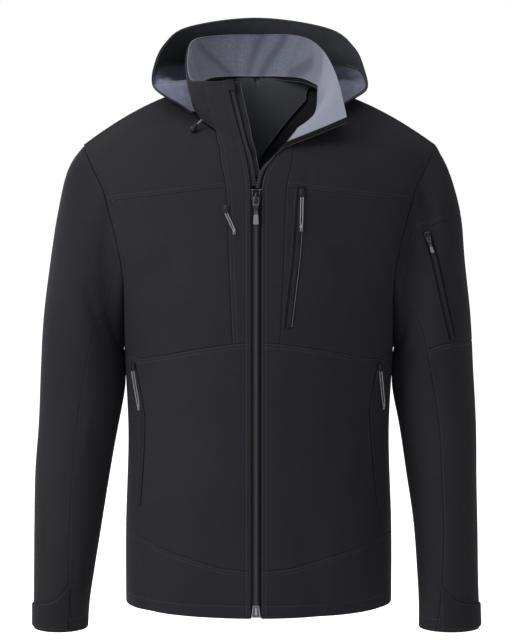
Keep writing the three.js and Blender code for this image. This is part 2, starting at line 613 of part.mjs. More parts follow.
function sleevePoint(side, degrees, v) {
  const rows = SLEEVE_ROWS[side];
  const ring = (k) => (k <= 0 ? armholePoint(side, degrees)
    : sleeveRing(side, rows[Math.min(k, rows.length) - 1], degrees));
  const k = Math.min(Math.floor(v), rows.length - 1);
  const line = new THREE.CatmullRomCurve3([ring(Math.max(k - 1, 0)), ring(k), ring(k + 1), ring(k + 2)],
    false, 'catmullrom');
  const p = line.getPoint((1 + v - k) / 3);
  if (v > 0) return p;
  const next = ring(1).sub(p).normalize();
  return p.addScaledVector(next, SLEEVE_GAP);
}

const SLEEVE_END = 11;
function sleeveCell(side, degrees, v) {
  const p = sleevePoint(side, degrees, v);
  const around = sleevePoint(side, degrees + 1, v).sub(sleevePoint(side, degrees - 1, v));
  const down = sleevePoint(side, degrees, Math.min(v + 0.02, SLEEVE_END))
    .sub(sleevePoint(side, degrees, Math.max(v - 0.02, 0.001)));
  return { p, n: around.cross(down).normalize().multiplyScalar(Math.sign(SIDES[side])) };
}

function sleeveGrid(side, stations, from, to, count) {
  return stations.map((v) => {
    const front = track(SLEEVE_SEAMS, 'v', v, 'front');
    const back = track(SLEEVE_SEAMS, 'v', v, 'back');
    const edges = { front, back: -back, round: 360 - back };
    return steps(edges[from], edges[to], count).map((degrees) => sleeveCell(side, degrees, v));
  });
}

// The slanted seams over and under the left sleeve's pocket: v of each, by degrees round the tube
const POCKET_TOP = [
  { degrees: -125, v: 2 }, { degrees: -60, v: 2.15 }, { degrees: 0, v: 2.08 }, { degrees: 44, v: 1.66 },
  { degrees: 59, v: 1.22 }, { degrees: 66, v: 0.98 }, { degrees: 75, v: 0.76 }, { degrees: 87, v: 0.57 },
  { degrees: 99, v: 0.47 }, { degrees: 126, v: 0.5 },
];
const POCKET_BOTTOM = [
  { degrees: -120, v: 4 }, { degrees: -60, v: 4.4 }, { degrees: 0, v: 4.5 }, { degrees: 30, v: 4.42 },
  { degrees: 60, v: 4.28 }, { degrees: 85, v: 4.1 }, { degrees: 104, v: 4 },
];
const CAP_SHARES = [0, 0.25, 0.5, 1];
const POCKET_SHARES = [0, 1 / 7, 3 / 7, 5 / 7, 1];
const LOWER_SHARES = steps(0, 1, 7);
const SEAM_ROUNDS = 4;

// A place on the under sleeve's own straight runs between its stations
function underEdge(side, key, v) {
  const i = Math.min(SLEEVE_STATIONS.filter((station) => station <= v).length, SLEEVE_STATIONS.length - 1);
  const [a, b] = [SLEEVE_STATIONS[i - 1], SLEEVE_STATIONS[i]];
  const sign = key === 'back' ? -1 : 1;
  const at = (station) => sleevePoint(side, sign * track(SLEEVE_SEAMS, 'v', station, key), station);
  return at(a).lerp(at(b), (v - a) / (b - a));
}

// Rows of the upper sleeve between two seams, each given as v by degrees
function slantedRows(side, from, to, shares) {
  return shares.map((share) => steps(0, 1, UPPER_STEPS * 2).map((across) => {
    let degrees = 0;
    let v = from(degrees) + (to(degrees) - from(degrees)) * share;
    for (let i = 0; i < SEAM_ROUNDS; i += 1) {
      const back = track(SLEEVE_SEAMS, 'v', v, 'back');
      degrees = (track(SLEEVE_SEAMS, 'v', v, 'front') + back) * across - back;
      v = from(degrees) + (to(degrees) - from(degrees)) * share;
    }
    const cell = sleeveCell(side, degrees, v);
    if (across === 0) return { p: underEdge(side, 'back', v), n: cell.n };
    return across === 1 ? { p: underEdge(side, 'front', v), n: cell.n } : cell;
  }));
}

// The cuff tab: v of its upper edge by degrees, v of its lower edge, its ends in degrees
const CUFF_TOP = [
  { degrees: -95, v: 10.15 }, { degrees: 0, v: 10 }, { degrees: 50, v: 9.9 }, { degrees: 83, v: 9.71 },
  { degrees: 108, v: 9.2 },
];
const CUFF_TAB = { to: 10.85, front: 108, back: -95, steps: 20, rows: 3, lift: 1.8 };

function buildSleeve(side) {
  if (side === 'L') {
    const top = (degrees) => track(POCKET_TOP, 'degrees', degrees, 'v');
    const bottom = (degrees) => track(POCKET_BOTTOM, 'degrees', degrees, 'v');
    addWall('sleeve_cap_L', slantedRows(side, () => 0, top, CAP_SHARES));
    addWall('sleeve_pocket_L', slantedRows(side, top, bottom, POCKET_SHARES));
    addWall('sleeve_upper_L', slantedRows(side, bottom, () => SLEEVE_END, LOWER_SHARES));
  } else {
    addWall('sleeve_upper_R', sleeveGrid(side, SLEEVE_STATIONS, 'back', 'front', UPPER_STEPS * 2));
  }
  const under = sleeveGrid(side, SLEEVE_STATIONS, 'front', 'round', UNDER_STEPS);
  addWall(`sleeve_under_${side}`, insetRim(under, LAYER_GAP));
  // The cuff tab wraps the outer side of the cuff and narrows towards the back
  const turns = steps(CUFF_TAB.back, CUFF_TAB.front, CUFF_TAB.steps);
  const tab = steps(0, 1, CUFF_TAB.rows).map((g) => turns.map((degrees) => {
    const top = track(CUFF_TOP, 'degrees', degrees, 'v');
    return sleeveCell(side, degrees, CUFF_TAB.to + (top - CUFF_TAB.to) * g);
  }));
  addWall(`cuff_tab_${side}`, lifted(tab, CUFF_TAB.lift), COLOURS.shellDark, TRIM);
}

// A narrow band that lies on a surface along shown places, lifted clear of it
function ribbon(name, cells, width, thickness, colour, lift = LAYER_GAP) {
  const grid = cells.map(({ p, n }, i) => {
    const next = cells[Math.min(i + 1, cells.length - 1)].p;
    const last = cells[Math.max(i - 1, 0)].p;
    const side = next.clone().sub(last).normalize().cross(n).normalize();
    return [-0.5, 0, 0.5].map((share) => ({
      p: p.clone().addScaledVector(side, share * width).addScaledVector(n, lift + thickness), n }));
  });
  addMesh(name, wallGeometry(grid, thickness), colour);
}
const shownOn = (half, places, count) => seam(half, places, count).map((place) => half.at(place));

// Main zip: the closed run between the fronts, then one run on each open edge, which reaches so
// far out from the front's edge and starts a little above the slider
const OPEN_RUN = { reaches: [0.5, 3.5, 6.5], startShare: 0.7, startRise: 4 };
const ZIP_STEPS = 24;
const ZIP_THICK = 2;

// The way out past a front's edge: on the right along its rows, on the left square to the edge,
// which turns over with the fold
function pastEdge(cells, i, side) {
  const [{ p, n }, next] = cells[i];
  if (side === 'R') return p.clone().sub(next.p).normalize();
  const before = cells[Math.max(i - 1, 0)][0].p;
  const after = cells[Math.min(i + 1, cells.length - 1)][0].p;
  return n.clone().cross(after.clone().sub(before)).normalize();
}

function buildMainZip() {
  const rows = steps(ZIP_BOTTOM, ZIP_TOP, ZIP_STEPS).map((z) => {
    const right = FRONT.R.at(FRONT.R.locate(FRONT_EDGE, z));
    const y = right.p.y + ZIP_SET;
    return [-ZIP_HALF, 0, ZIP_HALF].map((x) => ({
      p: new THREE.Vector3(x, y, z), n: new THREE.Vector3(0, -1, 0) }));
  });
  addMesh('main_zip_closed', wallGeometry(rows, ZIP_THICK), COLOURS.zip);
  for (const side of ['R', 'L']) {
    const cells = fronts[side].full.slice(CHEST_ROWS + 1);
    const grid = cells.map(([{ p, n }], i) => {
      const outward = pastEdge(cells, i, side);
      return OPEN_RUN.reaches.map((reach) => {
        const at = p.clone().addScaledVector(outward, reach * (i === 0 ? OPEN_RUN.startShare : 1));
        if (i === 0) at.z += OPEN_RUN.startRise;
        return { p: at, n };
      });
    });
    addMesh(`main_zip_open_${side}`, wallGeometry(grid, WALL), COLOURS.zip);
  }
}

// Turns a mesh into a manifold solid and back, for the cut trims
function solid(geometry) {
  const plain = geometry.index ? geometry.toNonIndexed() : geometry.clone();
  plain.deleteAttribute('normal');
  plain.deleteAttribute('uv');
  const merged = mergeVertices(plain, 1e-4);
  return new wasm.Manifold(new wasm.Mesh({
    numProp: 3,
    vertProperties: new Float32Array(merged.attributes.position.array),
    triVerts: new Uint32Array(merged.index.array),
  }));
}
function geometryOf(manifold) {
  const mesh = manifold.getMesh();
  const geometry = new THREE.BufferGeometry();
  geometry.setAttribute('position', new THREE.BufferAttribute(mesh.vertProperties, 3));
  geometry.setIndex(new THREE.BufferAttribute(mesh.triVerts, 1));
  geometry.computeVertexNormals();
  return geometry;
}

// A flat outline in x and z, raised towards the front by its thickness
function plate(outline, thickness) {
  const shape = new THREE.Shape(outline.map(([x, z]) => new THREE.Vector2(x, z)));
  const geometry = new THREE.ExtrudeGeometry(shape, { depth: thickness, bevelEnabled: false });
  return geometry.rotateX(Math.PI / 2);
}

// A slider with an arch across it; the tab's cross bar lies under the arch.
// Origin at the cross bar's middle, which is the tab's hinge axis.
const SLIDER = { wide: 11, tall: 23, thick: 3.2, arch: 3, rise: 2.5, bar: 1.4, reach: 4.6 };
function sliderGeometry(size, scale) {
  const halfWide = size.wide / 2;
  const halfTall = size.tall / 2;
  const body = plate([[-halfWide * 0.75, -halfTall], [halfWide * 0.75, -halfTall],
    [halfWide, -halfTall * 0.4], [halfWide, halfTall * 0.5], [halfWide * 0.6, halfTall],
    [-halfWide * 0.6, halfTall], [-halfWide, halfTall * 0.5], [-halfWide, -halfTall * 0.4]], size.thick);
  body.translate(0, size.rise / 2 + size.thick, 0);
  const archOutline = (reach, rise) => new THREE.Shape([
    new THREE.Vector2(-reach, -0.2), new THREE.Vector2(reach, -0.2),
    new THREE.Vector2(reach, rise * 0.7), new THREE.Vector2(reach * 0.7, rise),
    new THREE.Vector2(-reach * 0.7, rise), new THREE.Vector2(-reach, rise * 0.7)]);
  const outer = new THREE.ExtrudeGeometry(archOutline(size.reach + size.bar, size.rise + size.bar),
    { depth: size.arch, bevelEnabled: false });
  const hole = new THREE.ExtrudeGeometry(archOutline(size.reach, size.rise),
    { depth: size.arch * 3, bevelEnabled: false });
  const settle = (geometry, depth) => geometry.translate(0, 0, -depth / 2)
    .rotateY(Math.PI / 2).rotateX(Math.PI).translate(0, size.rise / 2, 0);
  const arch = solid(settle(outer, size.arch)).subtract(solid(settle(hole, size.arch * 3)));
  return geometryOf(solid(body).add(arch)).scale(scale, scale, scale);
}
// The hard tab: an eye round the arch's lower leg, then a plain grip
const TAB = { wide: 7.6, slot: 4.4, bar: 1.5, eye: 8, length: 36, thick: 1.5 };
function tabGeometry(size, scale) {
  const half = size.wide / 2;
  const top = size.bar / 2;
  const outline = [[-half, top], [-half, -size.eye - 3], [-half * 0.8, -size.length * 0.8],
    [-half, -size.length + 2], [-half + 1.5, -size.length], [half - 1.5, -size.length],
    [half, -size.length + 2], [half * 0.8, -size.length * 0.8], [half, -size.eye - 3], [half, top]];
  const slot = [[-size.slot / 2, -top], [size.slot / 2, -top], [size.slot / 2, -size.eye],
    [-size.slot / 2, -size.eye]];
  const body = plate(outline, size.thick).translate(0, size.thick / 2, 0);
  const hole = plate(slot, size.thick * 3).translate(0, size.thick * 1.5, 0);
  return geometryOf(solid(body).subtract(solid(hole))).scale(scale, scale, scale);
}

// Stands a piece made at the origin on a surface cell: its -Y to the normal, its +Z up the line
function stand(mesh, cell, upward, lift) {
  const y = cell.n.clone().negate();
  const z = upward.clone().addScaledVector(y, -upward.dot(y)).normalize();
  const x = y.clone().cross(z);
  mesh.setRotationFromMatrix(new THREE.Matrix4().makeBasis(x, y, z));
  mesh.position.copy(cell.p).addScaledVector(cell.n, lift);
}

const SLIDER_AT = -112;
const BOTTOM_BOX = { wide: 12.4, low: -8, shoulder: 6, top: 8, neck: 8, thick: 4, forward: 2.4 };
function buildMainSlider() {
  const onZip = (z) => new THREE.Vector3(0, FRONT.R.at(FRONT.R.locate(FRONT_EDGE, z)).p.y + ZIP_SET, z);
  const upward = onZip(SLIDER_AT).sub(onZip(SLIDER_AT - 30));
  const cell = { p: onZip(SLIDER_AT), n: upward.clone().cross(new THREE.Vector3(-1, 0, 0)).normalize() };
  const lift = SLIDER.thick + SLIDER.rise / 2 + LAYER_GAP * 2;
  const slider = addMesh('main_slider', sliderGeometry(SLIDER, 1), COLOURS.dark, 0.4, 0.6);
  const tab = addMesh('main_pull_tab', tabGeometry(TAB, 1), COLOURS.metal, 0.6);
  stand(slider, cell, upward, lift);
  stand(tab, cell, upward, lift);
  const { low, shoulder, top } = BOTTOM_BOX;
  const wide = BOTTOM_BOX.wide / 2;
  const neck = BOTTOM_BOX.neck / 2;
  const box = addMesh('zip_bottom_box', plate([[-wide, low], [wide, low], [wide, shoulder],
    [neck, top], [-neck, top], [-wide, shoulder]], BOTTOM_BOX.thick), COLOURS.metal, 0.45, 0.6);
  const beside = FRONT.R.at(FRONT.R.locate(FRONT_EDGE, ZIP_BOTTOM - top));
  box.position.set(0, beside.p.y + BOTTOM_BOX.forward, ZIP_BOTTOM - top - LAYER_GAP);
}

// Zips that lie on the panels, with the places of their sliders and hanging cord pulls
const PANEL_ZIPS = [
  { name: 'chest_zip_L', side: 'L', width: 7, lift: 0.3, line: [[60, -98], [53, -190], [42, -285]] },
  { name: 'hand_zip_R', side: 'R', width: 7, lift: -0.4,
    line: [[172, -338], [160, -400], [159, -440], [165, -535]] },
  { name: 'hand_zip_L', side: 'L', width: 7, lift: 0.2,
    line: [[166, -338], [156, -400], [158, -440], [166, -535]] },
];
const PULLS = [
  { name: 'chest_R', side: 'R', x: 40.5, z: -127, drop: 23, lean: -11, over: 0 },
  { name: 'chest_L', side: 'L', x: 60, z: -106, drop: 40, lean: -1, over: 1.5 },
  { name: 'hand_R', side: 'R', x: 170, z: -344, drop: 48, lean: -8, over: 1.2 },
  { name: 'hand_L', side: 'L', x: 165, z: -344, drop: 48, lean: 5, over: 1.2 },
];
const CORD_SLIDER = { wide: 7, tall: 10, neck: 4, tail: 4, head: 3, thick: 2.6 };
const CORD_LIFT = 1.4;
const CORD_START = 5.4;
const CORD_STEPS = 30;
// A pull is a loop: share runs down its drop, spread is half its width there
const CORD_LOOP = [
  { share: 0, spread: 1.5 }, { share: 0.25, spread: 1.5 }, { share: 0.5, spread: 1.5 },
  { share: 0.75, spread: 1.5 }, { share: 0.95, spread: 1.1 }, { share: 1, spread: 0.4 },
];

function sectionCircle(radius) {
  return new THREE.Shape(Array.from({ length: CORD_SIDES }, (_, i) => {
    const angle = i / CORD_SIDES * 2 * Math.PI;
    return new THREE.Vector2(radius * Math.cos(angle), radius * Math.sin(angle));
  }));
}
function addCord(name, points, count) {
  const path = new THREE.CatmullRomCurve3(points, false, 'catmullrom');
  addMesh(name, new THREE.ExtrudeGeometry(sectionCircle(CORD / 2),
    { steps: count, extrudePath: path, bevelEnabled: false }), COLOURS.cord, 0.8);
}

function cordSliderGeometry({ wide, tall, neck, tail, head, thick }) {
  return plate([[-wide / 2, -tail], [-neck / 2, -tall / 2], [neck / 2, -tall / 2], [wide / 2, -tail],
    [wide / 2, head], [neck / 2, tall / 2], [-neck / 2, tall / 2], [-wide / 2, head]], thick);
}

const PANEL_ZIP_STEPS = 7;
function buildPanelZips() {
  for (const zip of PANEL_ZIPS) {
    ribbon(zip.name, shownOn(FRONT[zip.side], zip.line, PANEL_ZIP_STEPS), zip.width, TRIM, COLOURS.zip, zip.lift);
  }
  for (const pull of PULLS) {
    const half = FRONT[pull.side];
    const cell = half.at(half.locate(pull.x, pull.z));
    const slider = addMesh(`slider_${pull.name}`, cordSliderGeometry(CORD_SLIDER), COLOURS.dark, 0.4, 0.5);
    const below = half.at(half.locate(pull.x, pull.z - 10));
    stand(slider, cell, cell.p.clone().sub(below.p), pull.over + LAYER_GAP);
    const route = [];
    for (const leg of [-1, 1]) {
      for (const { share, spread } of leg < 0 ? CORD_LOOP : [...CORD_LOOP].reverse()) {
        const z = pull.z - CORD_START - pull.drop * share;
        const on = half.at(half.locate(pull.x + pull.lean * share, z));
        const p = on.p.clone().addScaledVector(on.n, pull.over + CORD_LIFT + CORD / 2);
        p.x += leg * spread;
        route.push(p);
      }
    }
    addCord(`pull_${pull.name}`, route, CORD_STEPS);
  }
}

// The sleeve pocket's zip, slider and hard pull tab on the wearer's left sleeve
const SLEEVE_ZIP = { top: 0.74, bottom: 4.14, slider: 0.84, near: 0.1, width: 7, steps: 14 };
const SLEEVE_ZIP_LINE = [
  { v: 0.7, degrees: 80 }, { v: 1.2, degrees: 78.5 }, { v: 2.1, degrees: 79 }, { v: 3, degrees: 74 },
  { v: 3.76, degrees: 69 }, { v: 4.2, degrees: 64.5 },
];
const SMALL = 0.62;
function buildSleeveZip() {
  const at = (v) => sleeveCell('L', track(SLEEVE_ZIP_LINE, 'v', v, 'degrees'), v);
  const cells = steps(SLEEVE_ZIP.top, SLEEVE_ZIP.bottom, SLEEVE_ZIP.steps).map(at);
  ribbon('sleeve_zip_L', [...cells].reverse(), SLEEVE_ZIP.width, TRIM, COLOURS.zip);
  const cell = at(SLEEVE_ZIP.slider);
  const upward = at(SLEEVE_ZIP.slider - SLEEVE_ZIP.near).p.sub(at(SLEEVE_ZIP.slider + SLEEVE_ZIP.near).p);
  const lift = TRIM + LAYER_GAP * 2 + (SLIDER.thick + SLIDER.rise / 2) * SMALL;
  const slider = addMesh('sleeve_slider_L', sliderGeometry(SLIDER, SMALL), COLOURS.dark, 0.4, 0.6);
  const tab = addMesh('sleeve_pull_tab_L', tabGeometry(TAB, SMALL), COLOURS.metal, 0.6);
  stand(slider, cell, upward, lift);
  stand(tab, cell, upward, lift);
}

// The zip garage folds over the collar's top corner; the storm flap lies behind the open zip run.
// Their columns reach so far from the collar's front edge, below zero inward from it.
const GARAGE = { from: 0.4, to: 1, columns: [-1.5, 4, 9.5] };
const FLAP = { inner: -7, middle: 2, outer: 15, widens: 4 };
function buildCollarTrims() {
  const cells = fronts.R.full;
  const top = cells.length - 1;
  const garage = steps(GARAGE.from, GARAGE.to, 2).map((share) => {
    const edge = cells[top - 1][0].p.clone().lerp(cells[top][0].p, share);
    const n = cells[top][0].n;
    const inward = cells[top][0].p.clone().sub(cells[top][1].p).normalize();
    return GARAGE.columns.map((reach) => ({ p: edge.clone().addScaledVector(inward, reach)
      .addScaledVector(n, TRIM + LAYER_GAP * 2), n }));
  });
  addMesh('zip_garage', wallGeometry(garage, TRIM), COLOURS.shellDark);
  const flapRows = cells.slice(CHEST_ROWS + 2);
  const flap = flapRows.map((row, i) => {
    const n = row[0].n;
    const inward = row[0].p.clone().sub(row[1].p).normalize();
    const outer = FLAP.outer + FLAP.widens * i / flapRows.length;
    return [FLAP.inner, FLAP.middle, outer].map((step) => ({ p: row[0].p.clone().addScaledVector(inward, step)
      .addScaledVector(n, -WALL - LAYER_GAP * 2), n }));
  });
  addMesh('storm_flap', wallGeometry(flap, TRIM), COLOURS.shellDark);
}

// The cord lock at the hood's front corner, a short barrel with chamfered ends
const LOCK = { x: -84, y: -81.5, z: -12, radius: 4, length: 11, chamfer: 1.5, end: 0.8, sides: 10 };
function buildCordLock() {
  const { radius, length, chamfer } = LOCK;
  const end = radius * LOCK.end;
  const lock = new THREE.LatheGeometry([[0, 0], [end, 0], [radius, chamfer],
    [radius, length - chamfer], [end, length], [0, length]]
    .map(([r, y]) => new THREE.Vector2(r, y)), LOCK.sides);
  lock.rotateX(Math.PI / 2);
  const mesh = addMesh('hood_cord_lock_R', lock, COLOURS.dark, 0.5);
  mesh.position.set(LOCK.x, LOCK.y, LOCK.z - LOCK.length);
}

buildFront('R');
buildFront('L');
buildBack();
buildCollar();
buildHood();
buildSleeve('R');
buildSleeve('L');
buildMainZip();
buildMainSlider();
buildPanelZips();
buildSleeveZip();
buildCollarTrims();
buildCordLock();

export default jacket;
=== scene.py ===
"""A hooded softshell jacket, filled out with no wearer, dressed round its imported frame.

Metres, +Z up, front towards -Y. R is the wearer's right (-X) and L the wearer's left (+X).
"""
import logging
import math
from dataclasses import dataclass, field
from enum import Enum
from typing import Callable, Sequence

import bpy
import numpy as np
from mathutils import Matrix, Vector


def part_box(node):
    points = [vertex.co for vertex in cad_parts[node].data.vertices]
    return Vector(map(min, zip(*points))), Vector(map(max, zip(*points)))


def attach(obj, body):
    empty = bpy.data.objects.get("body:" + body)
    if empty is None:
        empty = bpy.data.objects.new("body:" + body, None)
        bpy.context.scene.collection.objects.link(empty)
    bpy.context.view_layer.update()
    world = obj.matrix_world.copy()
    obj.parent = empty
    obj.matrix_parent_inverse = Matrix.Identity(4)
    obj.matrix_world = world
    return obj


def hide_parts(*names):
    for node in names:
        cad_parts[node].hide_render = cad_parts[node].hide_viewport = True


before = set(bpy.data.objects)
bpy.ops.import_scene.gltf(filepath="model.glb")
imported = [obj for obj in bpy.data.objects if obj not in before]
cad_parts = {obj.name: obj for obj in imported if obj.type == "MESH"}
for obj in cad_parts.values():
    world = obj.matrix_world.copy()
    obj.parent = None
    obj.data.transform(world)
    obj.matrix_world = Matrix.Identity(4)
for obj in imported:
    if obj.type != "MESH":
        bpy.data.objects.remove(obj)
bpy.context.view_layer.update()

LOG = logging.getLogger("jacket")
Array = np.ndarray
Edge = Callable[[Array], Array]

# Cloth and trim thicknesses, the gap at a seam and between layers
WALL = 0.0016
FLEECE = 0.0015
TRIM = 0.0011
SEAM_GAP = 0.00014
LAYER = 0.00035
# The fronts' edges beside the zip, the hem, and the closed zip's ends
FRONT_EDGE = 0.007
HEM = -0.679
ZIP_HALF = 0.0063
ZIP_SET = 0.0006
ZIP_TOP = -0.101
ZIP_BOTTOM = -0.660
SLIDER_AT = -0.112
# The filled form is a touch narrower on the wearer's right
SIDES = {"R": -0.98, "L": 1.02}
TOP_ROW = 9.0
YOKE_ROW = 5.0
UNDERARM_ROW = 3.0
NARROWEST_SHEET = 0.01


class Table:
    """Rows of named columns, read between rows by a smooth cubic."""

    def __init__(self, columns: str, rows: Sequence[Sequence[float]],
                 sharp: dict[float, str] | None = None) -> None:
        """Keeps the rows.

        Args:
            columns: the columns' names, with the row axis first.
            rows: one sequence of values for each row.
            sharp: for a row's place, the first letter of the columns that turn sharply there.
        """
        values = np.array(rows, float)
        self.names = columns.split()
        self.axis = values[:, 0]
        self.values = {name: values[:, i] for i, name in enumerate(self.names)}
        self.sharp = sharp or {}

    def read(self, name: str, at: Array) -> Array:
        """Reads a column.

        Args:
            name: the column.
            at: places on the row axis.

        Returns:
            The column's value at each place.
        """
        at = np.asarray(at, float)
        value = self.values[name]
        last = len(self.axis) - 1
        i = np.searchsorted(self.axis[1:-1], at, side="left")
        before = np.maximum(i - 1, 0)
        after = np.minimum(i + 2, last)
        span = self.axis[i + 1] - self.axis[i]
        rise = value[i + 1] - value[i]
        turns = np.array([self.sharp.get(place, "") == name[0] for place in self.axis])
        slope_a = (value[i + 1] - value[before]) / (self.axis[i + 1] - self.axis[before]) * span
        slope_b = (value[after] - value[i]) / (self.axis[after] - self.axis[i]) * span
        slope_a = np.where(turns[i], rise, slope_a)
        slope_b = np.where(turns[i + 1], rise, slope_b)
        u = (at - self.axis[i]) / span
        return (value[i] * (2 * u**3 - 3 * u**2 + 1) + slope_a * (u**3 - 2 * u**2 + u)
                + value[i + 1] * (3 * u**2 - 2 * u**3) + slope_b * (u**3 - u**2))


# Body sections from hem to shoulder: an inner edge (centre line, then neckline) and an outer edge
# (side seam, then armhole, then shoulder tip); round is 1 for an elliptic row, lift raises it
BODY_COLUMNS = "t ix iy iz ox oy oz round lift"
FRONT_ROWS = Table(BODY_COLUMNS, [
    (0, 0, -0.136, HEM, 0.187, 0, HEM, 1, 0),
    (1, 0, -0.139, -0.573, 0.187, 0, -0.573, 1, 0),
    (2, 0, -0.137, -0.440, 0.183, 0, -0.440, 1, 0),
    (3, 0, -0.139, -0.322, 0.188, -0.005, -0.322, 1, 0),
    (4, 0, -0.137, -0.215, 0.187, -0.062, -0.215, 0.9, 0),
    (5, 0, -0.126, -0.108, 0.209, -0.060, -0.118, 0.8, 0),
    (6, 0.014, -0.108, -0.050, 0.216, -0.054, -0.096, 0.7, 0.004),
    (7, 0.055, -0.085, -0.022, 0.226, -0.041, -0.078, 0.5, 0.008),
    (8, 0.081, -0.042, 0, 0.236, -0.024, -0.058, 0.4, 0.010),
    (9, 0.087, 0.008, 0.042, 0.246, 0.004, -0.038, 0, 0.010),
], {3: "o"})
BACK_ROWS = Table(BODY_COLUMNS, [
    (0, 0, 0.130, HEM, 0.187, 0, HEM, 1, 0),
    (1, 0, 0.126, -0.573, 0.187, 0, -0.573, 1, 0),
    (2, 0, 0.120, -0.440, 0.183, 0, -0.440, 1, 0),
    (3, 0, 0.122, -0.322, 0.188, -0.005, -0.322, 1, 0),
    (4, 0, 0.122, -0.215, 0.190, 0.058, -0.215, 0.9, 0),
    (5, 0, 0.112, -0.100, 0.208, 0.057, -0.118, 0.8, 0),
    (6, 0, 0.082, 0.058, 0.217, 0.051, -0.096, 0.6, 0.010),
    (7, 0.034, 0.078, 0.058, 0.227, 0.040, -0.076, 0.4, 0.014),
    (8, 0.066, 0.052, 0.054, 0.237, 0.024, -0.056, 0.2, 0.012),
    (9, 0.087, 0.008, 0.042, 0.246, 0.004, -0.038, 0, 0.010),
], {3: "o", 6: "i"})


@dataclass(frozen=True)
class Crease:
    """A soft trough, or a ridge where depth is negative, between two places on a flat chart."""

    a: tuple[float, float]
    b: tuple[float, float]
    width: float
    depth: float

    def depth_at(self, x: Array, z: Array) -> Array:
        """How deep the crease is at each chart place x, z."""
        dx, dz = self.b[0] - self.a[0], self.b[1] - self.a[1]
        share = np.clip(((x - self.a[0]) * dx + (z - self.a[1]) * dz) / (dx * dx + dz * dz), 0, 1)
        away = np.hypot(x - self.a[0] - share * dx, z - self.a[1] - share * dz) / self.width
        return self.depth * np.exp(-away**2)


# Charts run over x and z as seen from the front or back, before the side's own stretch.
# The first rows are the form's main folds, the rest are the finer ones
FRONT_CREASES = {
    "L": (
        Crease((0.138, -0.345), (0.150, -0.520), 0.022, 0.005),
        Crease((0.168, -0.600), (0.172, -0.679), 0.014, 0.003),
        Crease((0.070, -0.560), (0.082, -0.679), 0.020, 0.003),
        Crease((0.176, -0.240), (0.122, -0.200), 0.022, 0.005),
        Crease((0.112, -0.370), (0.104, -0.470), 0.012, 0.0016),
        Crease((0.060, -0.350), (0.052, -0.430), 0.016, 0.0012),
        Crease((0.100, -0.270), (0.130, -0.215), 0.010, 0.0014),
        Crease((0.095, -0.040), (0.150, -0.075), 0.012, -0.0014),
        Crease((0.060, -0.060), (0.072, -0.092), 0.007, 0.0016),
        Crease((0.180, -0.500), (0.160, -0.560), 0.010, 0.0018),
    ),
    "R": (
        Crease((0.146, -0.350), (0.140, -0.500), 0.024, 0.004),
        Crease((0.170, -0.612), (0.150, -0.679), 0.014, 0.004),
        Crease((0.178, -0.235), (0.120, -0.205), 0.022, 0.005),
        Crease((0.108, -0.360), (0.098, -0.450), 0.013, 0.0016),
        Crease((0.158, -0.620), (0.176, -0.575), 0.0035, -0.0012),
        Crease((0.148, -0.668), (0.160, -0.622), 0.0035, -0.0010),
        Crease((0.090, -0.040), (0.150, -0.080), 0.014, -0.0012),
        Crease((0.070, -0.260), (0.110, -0.240), 0.014, 0.0014),
        Crease((0.052, -0.600), (0.060, -0.670), 0.012, 0.0012),
        Crease((0.176, -0.420), (0.170, -0.520), 0.008, 0.0014),
    ),
}
BACK_CREASES = {
    "L": (
        Crease((0.172, -0.250), (0.105, -0.180), 0.018, 0.0045),
        Crease((0.140, -0.360), (0.120, -0.500), 0.018, 0.0035),
        Crease((0.060, -0.520), (0.090, -0.670), 0.016, 0.0025),
        Crease((0.030, -0.280), (0.080, -0.330), 0.014, 0.0020),
        Crease((0.165, -0.590), (0.150, -0.670), 0.010, 0.0020),
        Crease((0.095, -0.420), (0.075, -0.470), 0.009, 0.0014),
    ),
    "R": (
        Crease((0.168, -0.255), (0.112, -0.190), 0.018, 0.0045),
        Crease((0.132, -0.340), (0.125, -0.470), 0.019, 0.0030),
        Crease((0.080, -0.560), (0.110, -0.675), 0.017, 0.0028),
        Crease((0.020, -0.330), (0.090, -0.300), 0.014, 0.0018),
        Crease((0.172, -0.540), (0.158, -0.620), 0.010, 0.0020),
        Crease((0.045, -0.450), (0.060, -0.520), 0.010, 0.0014),
    ),
}


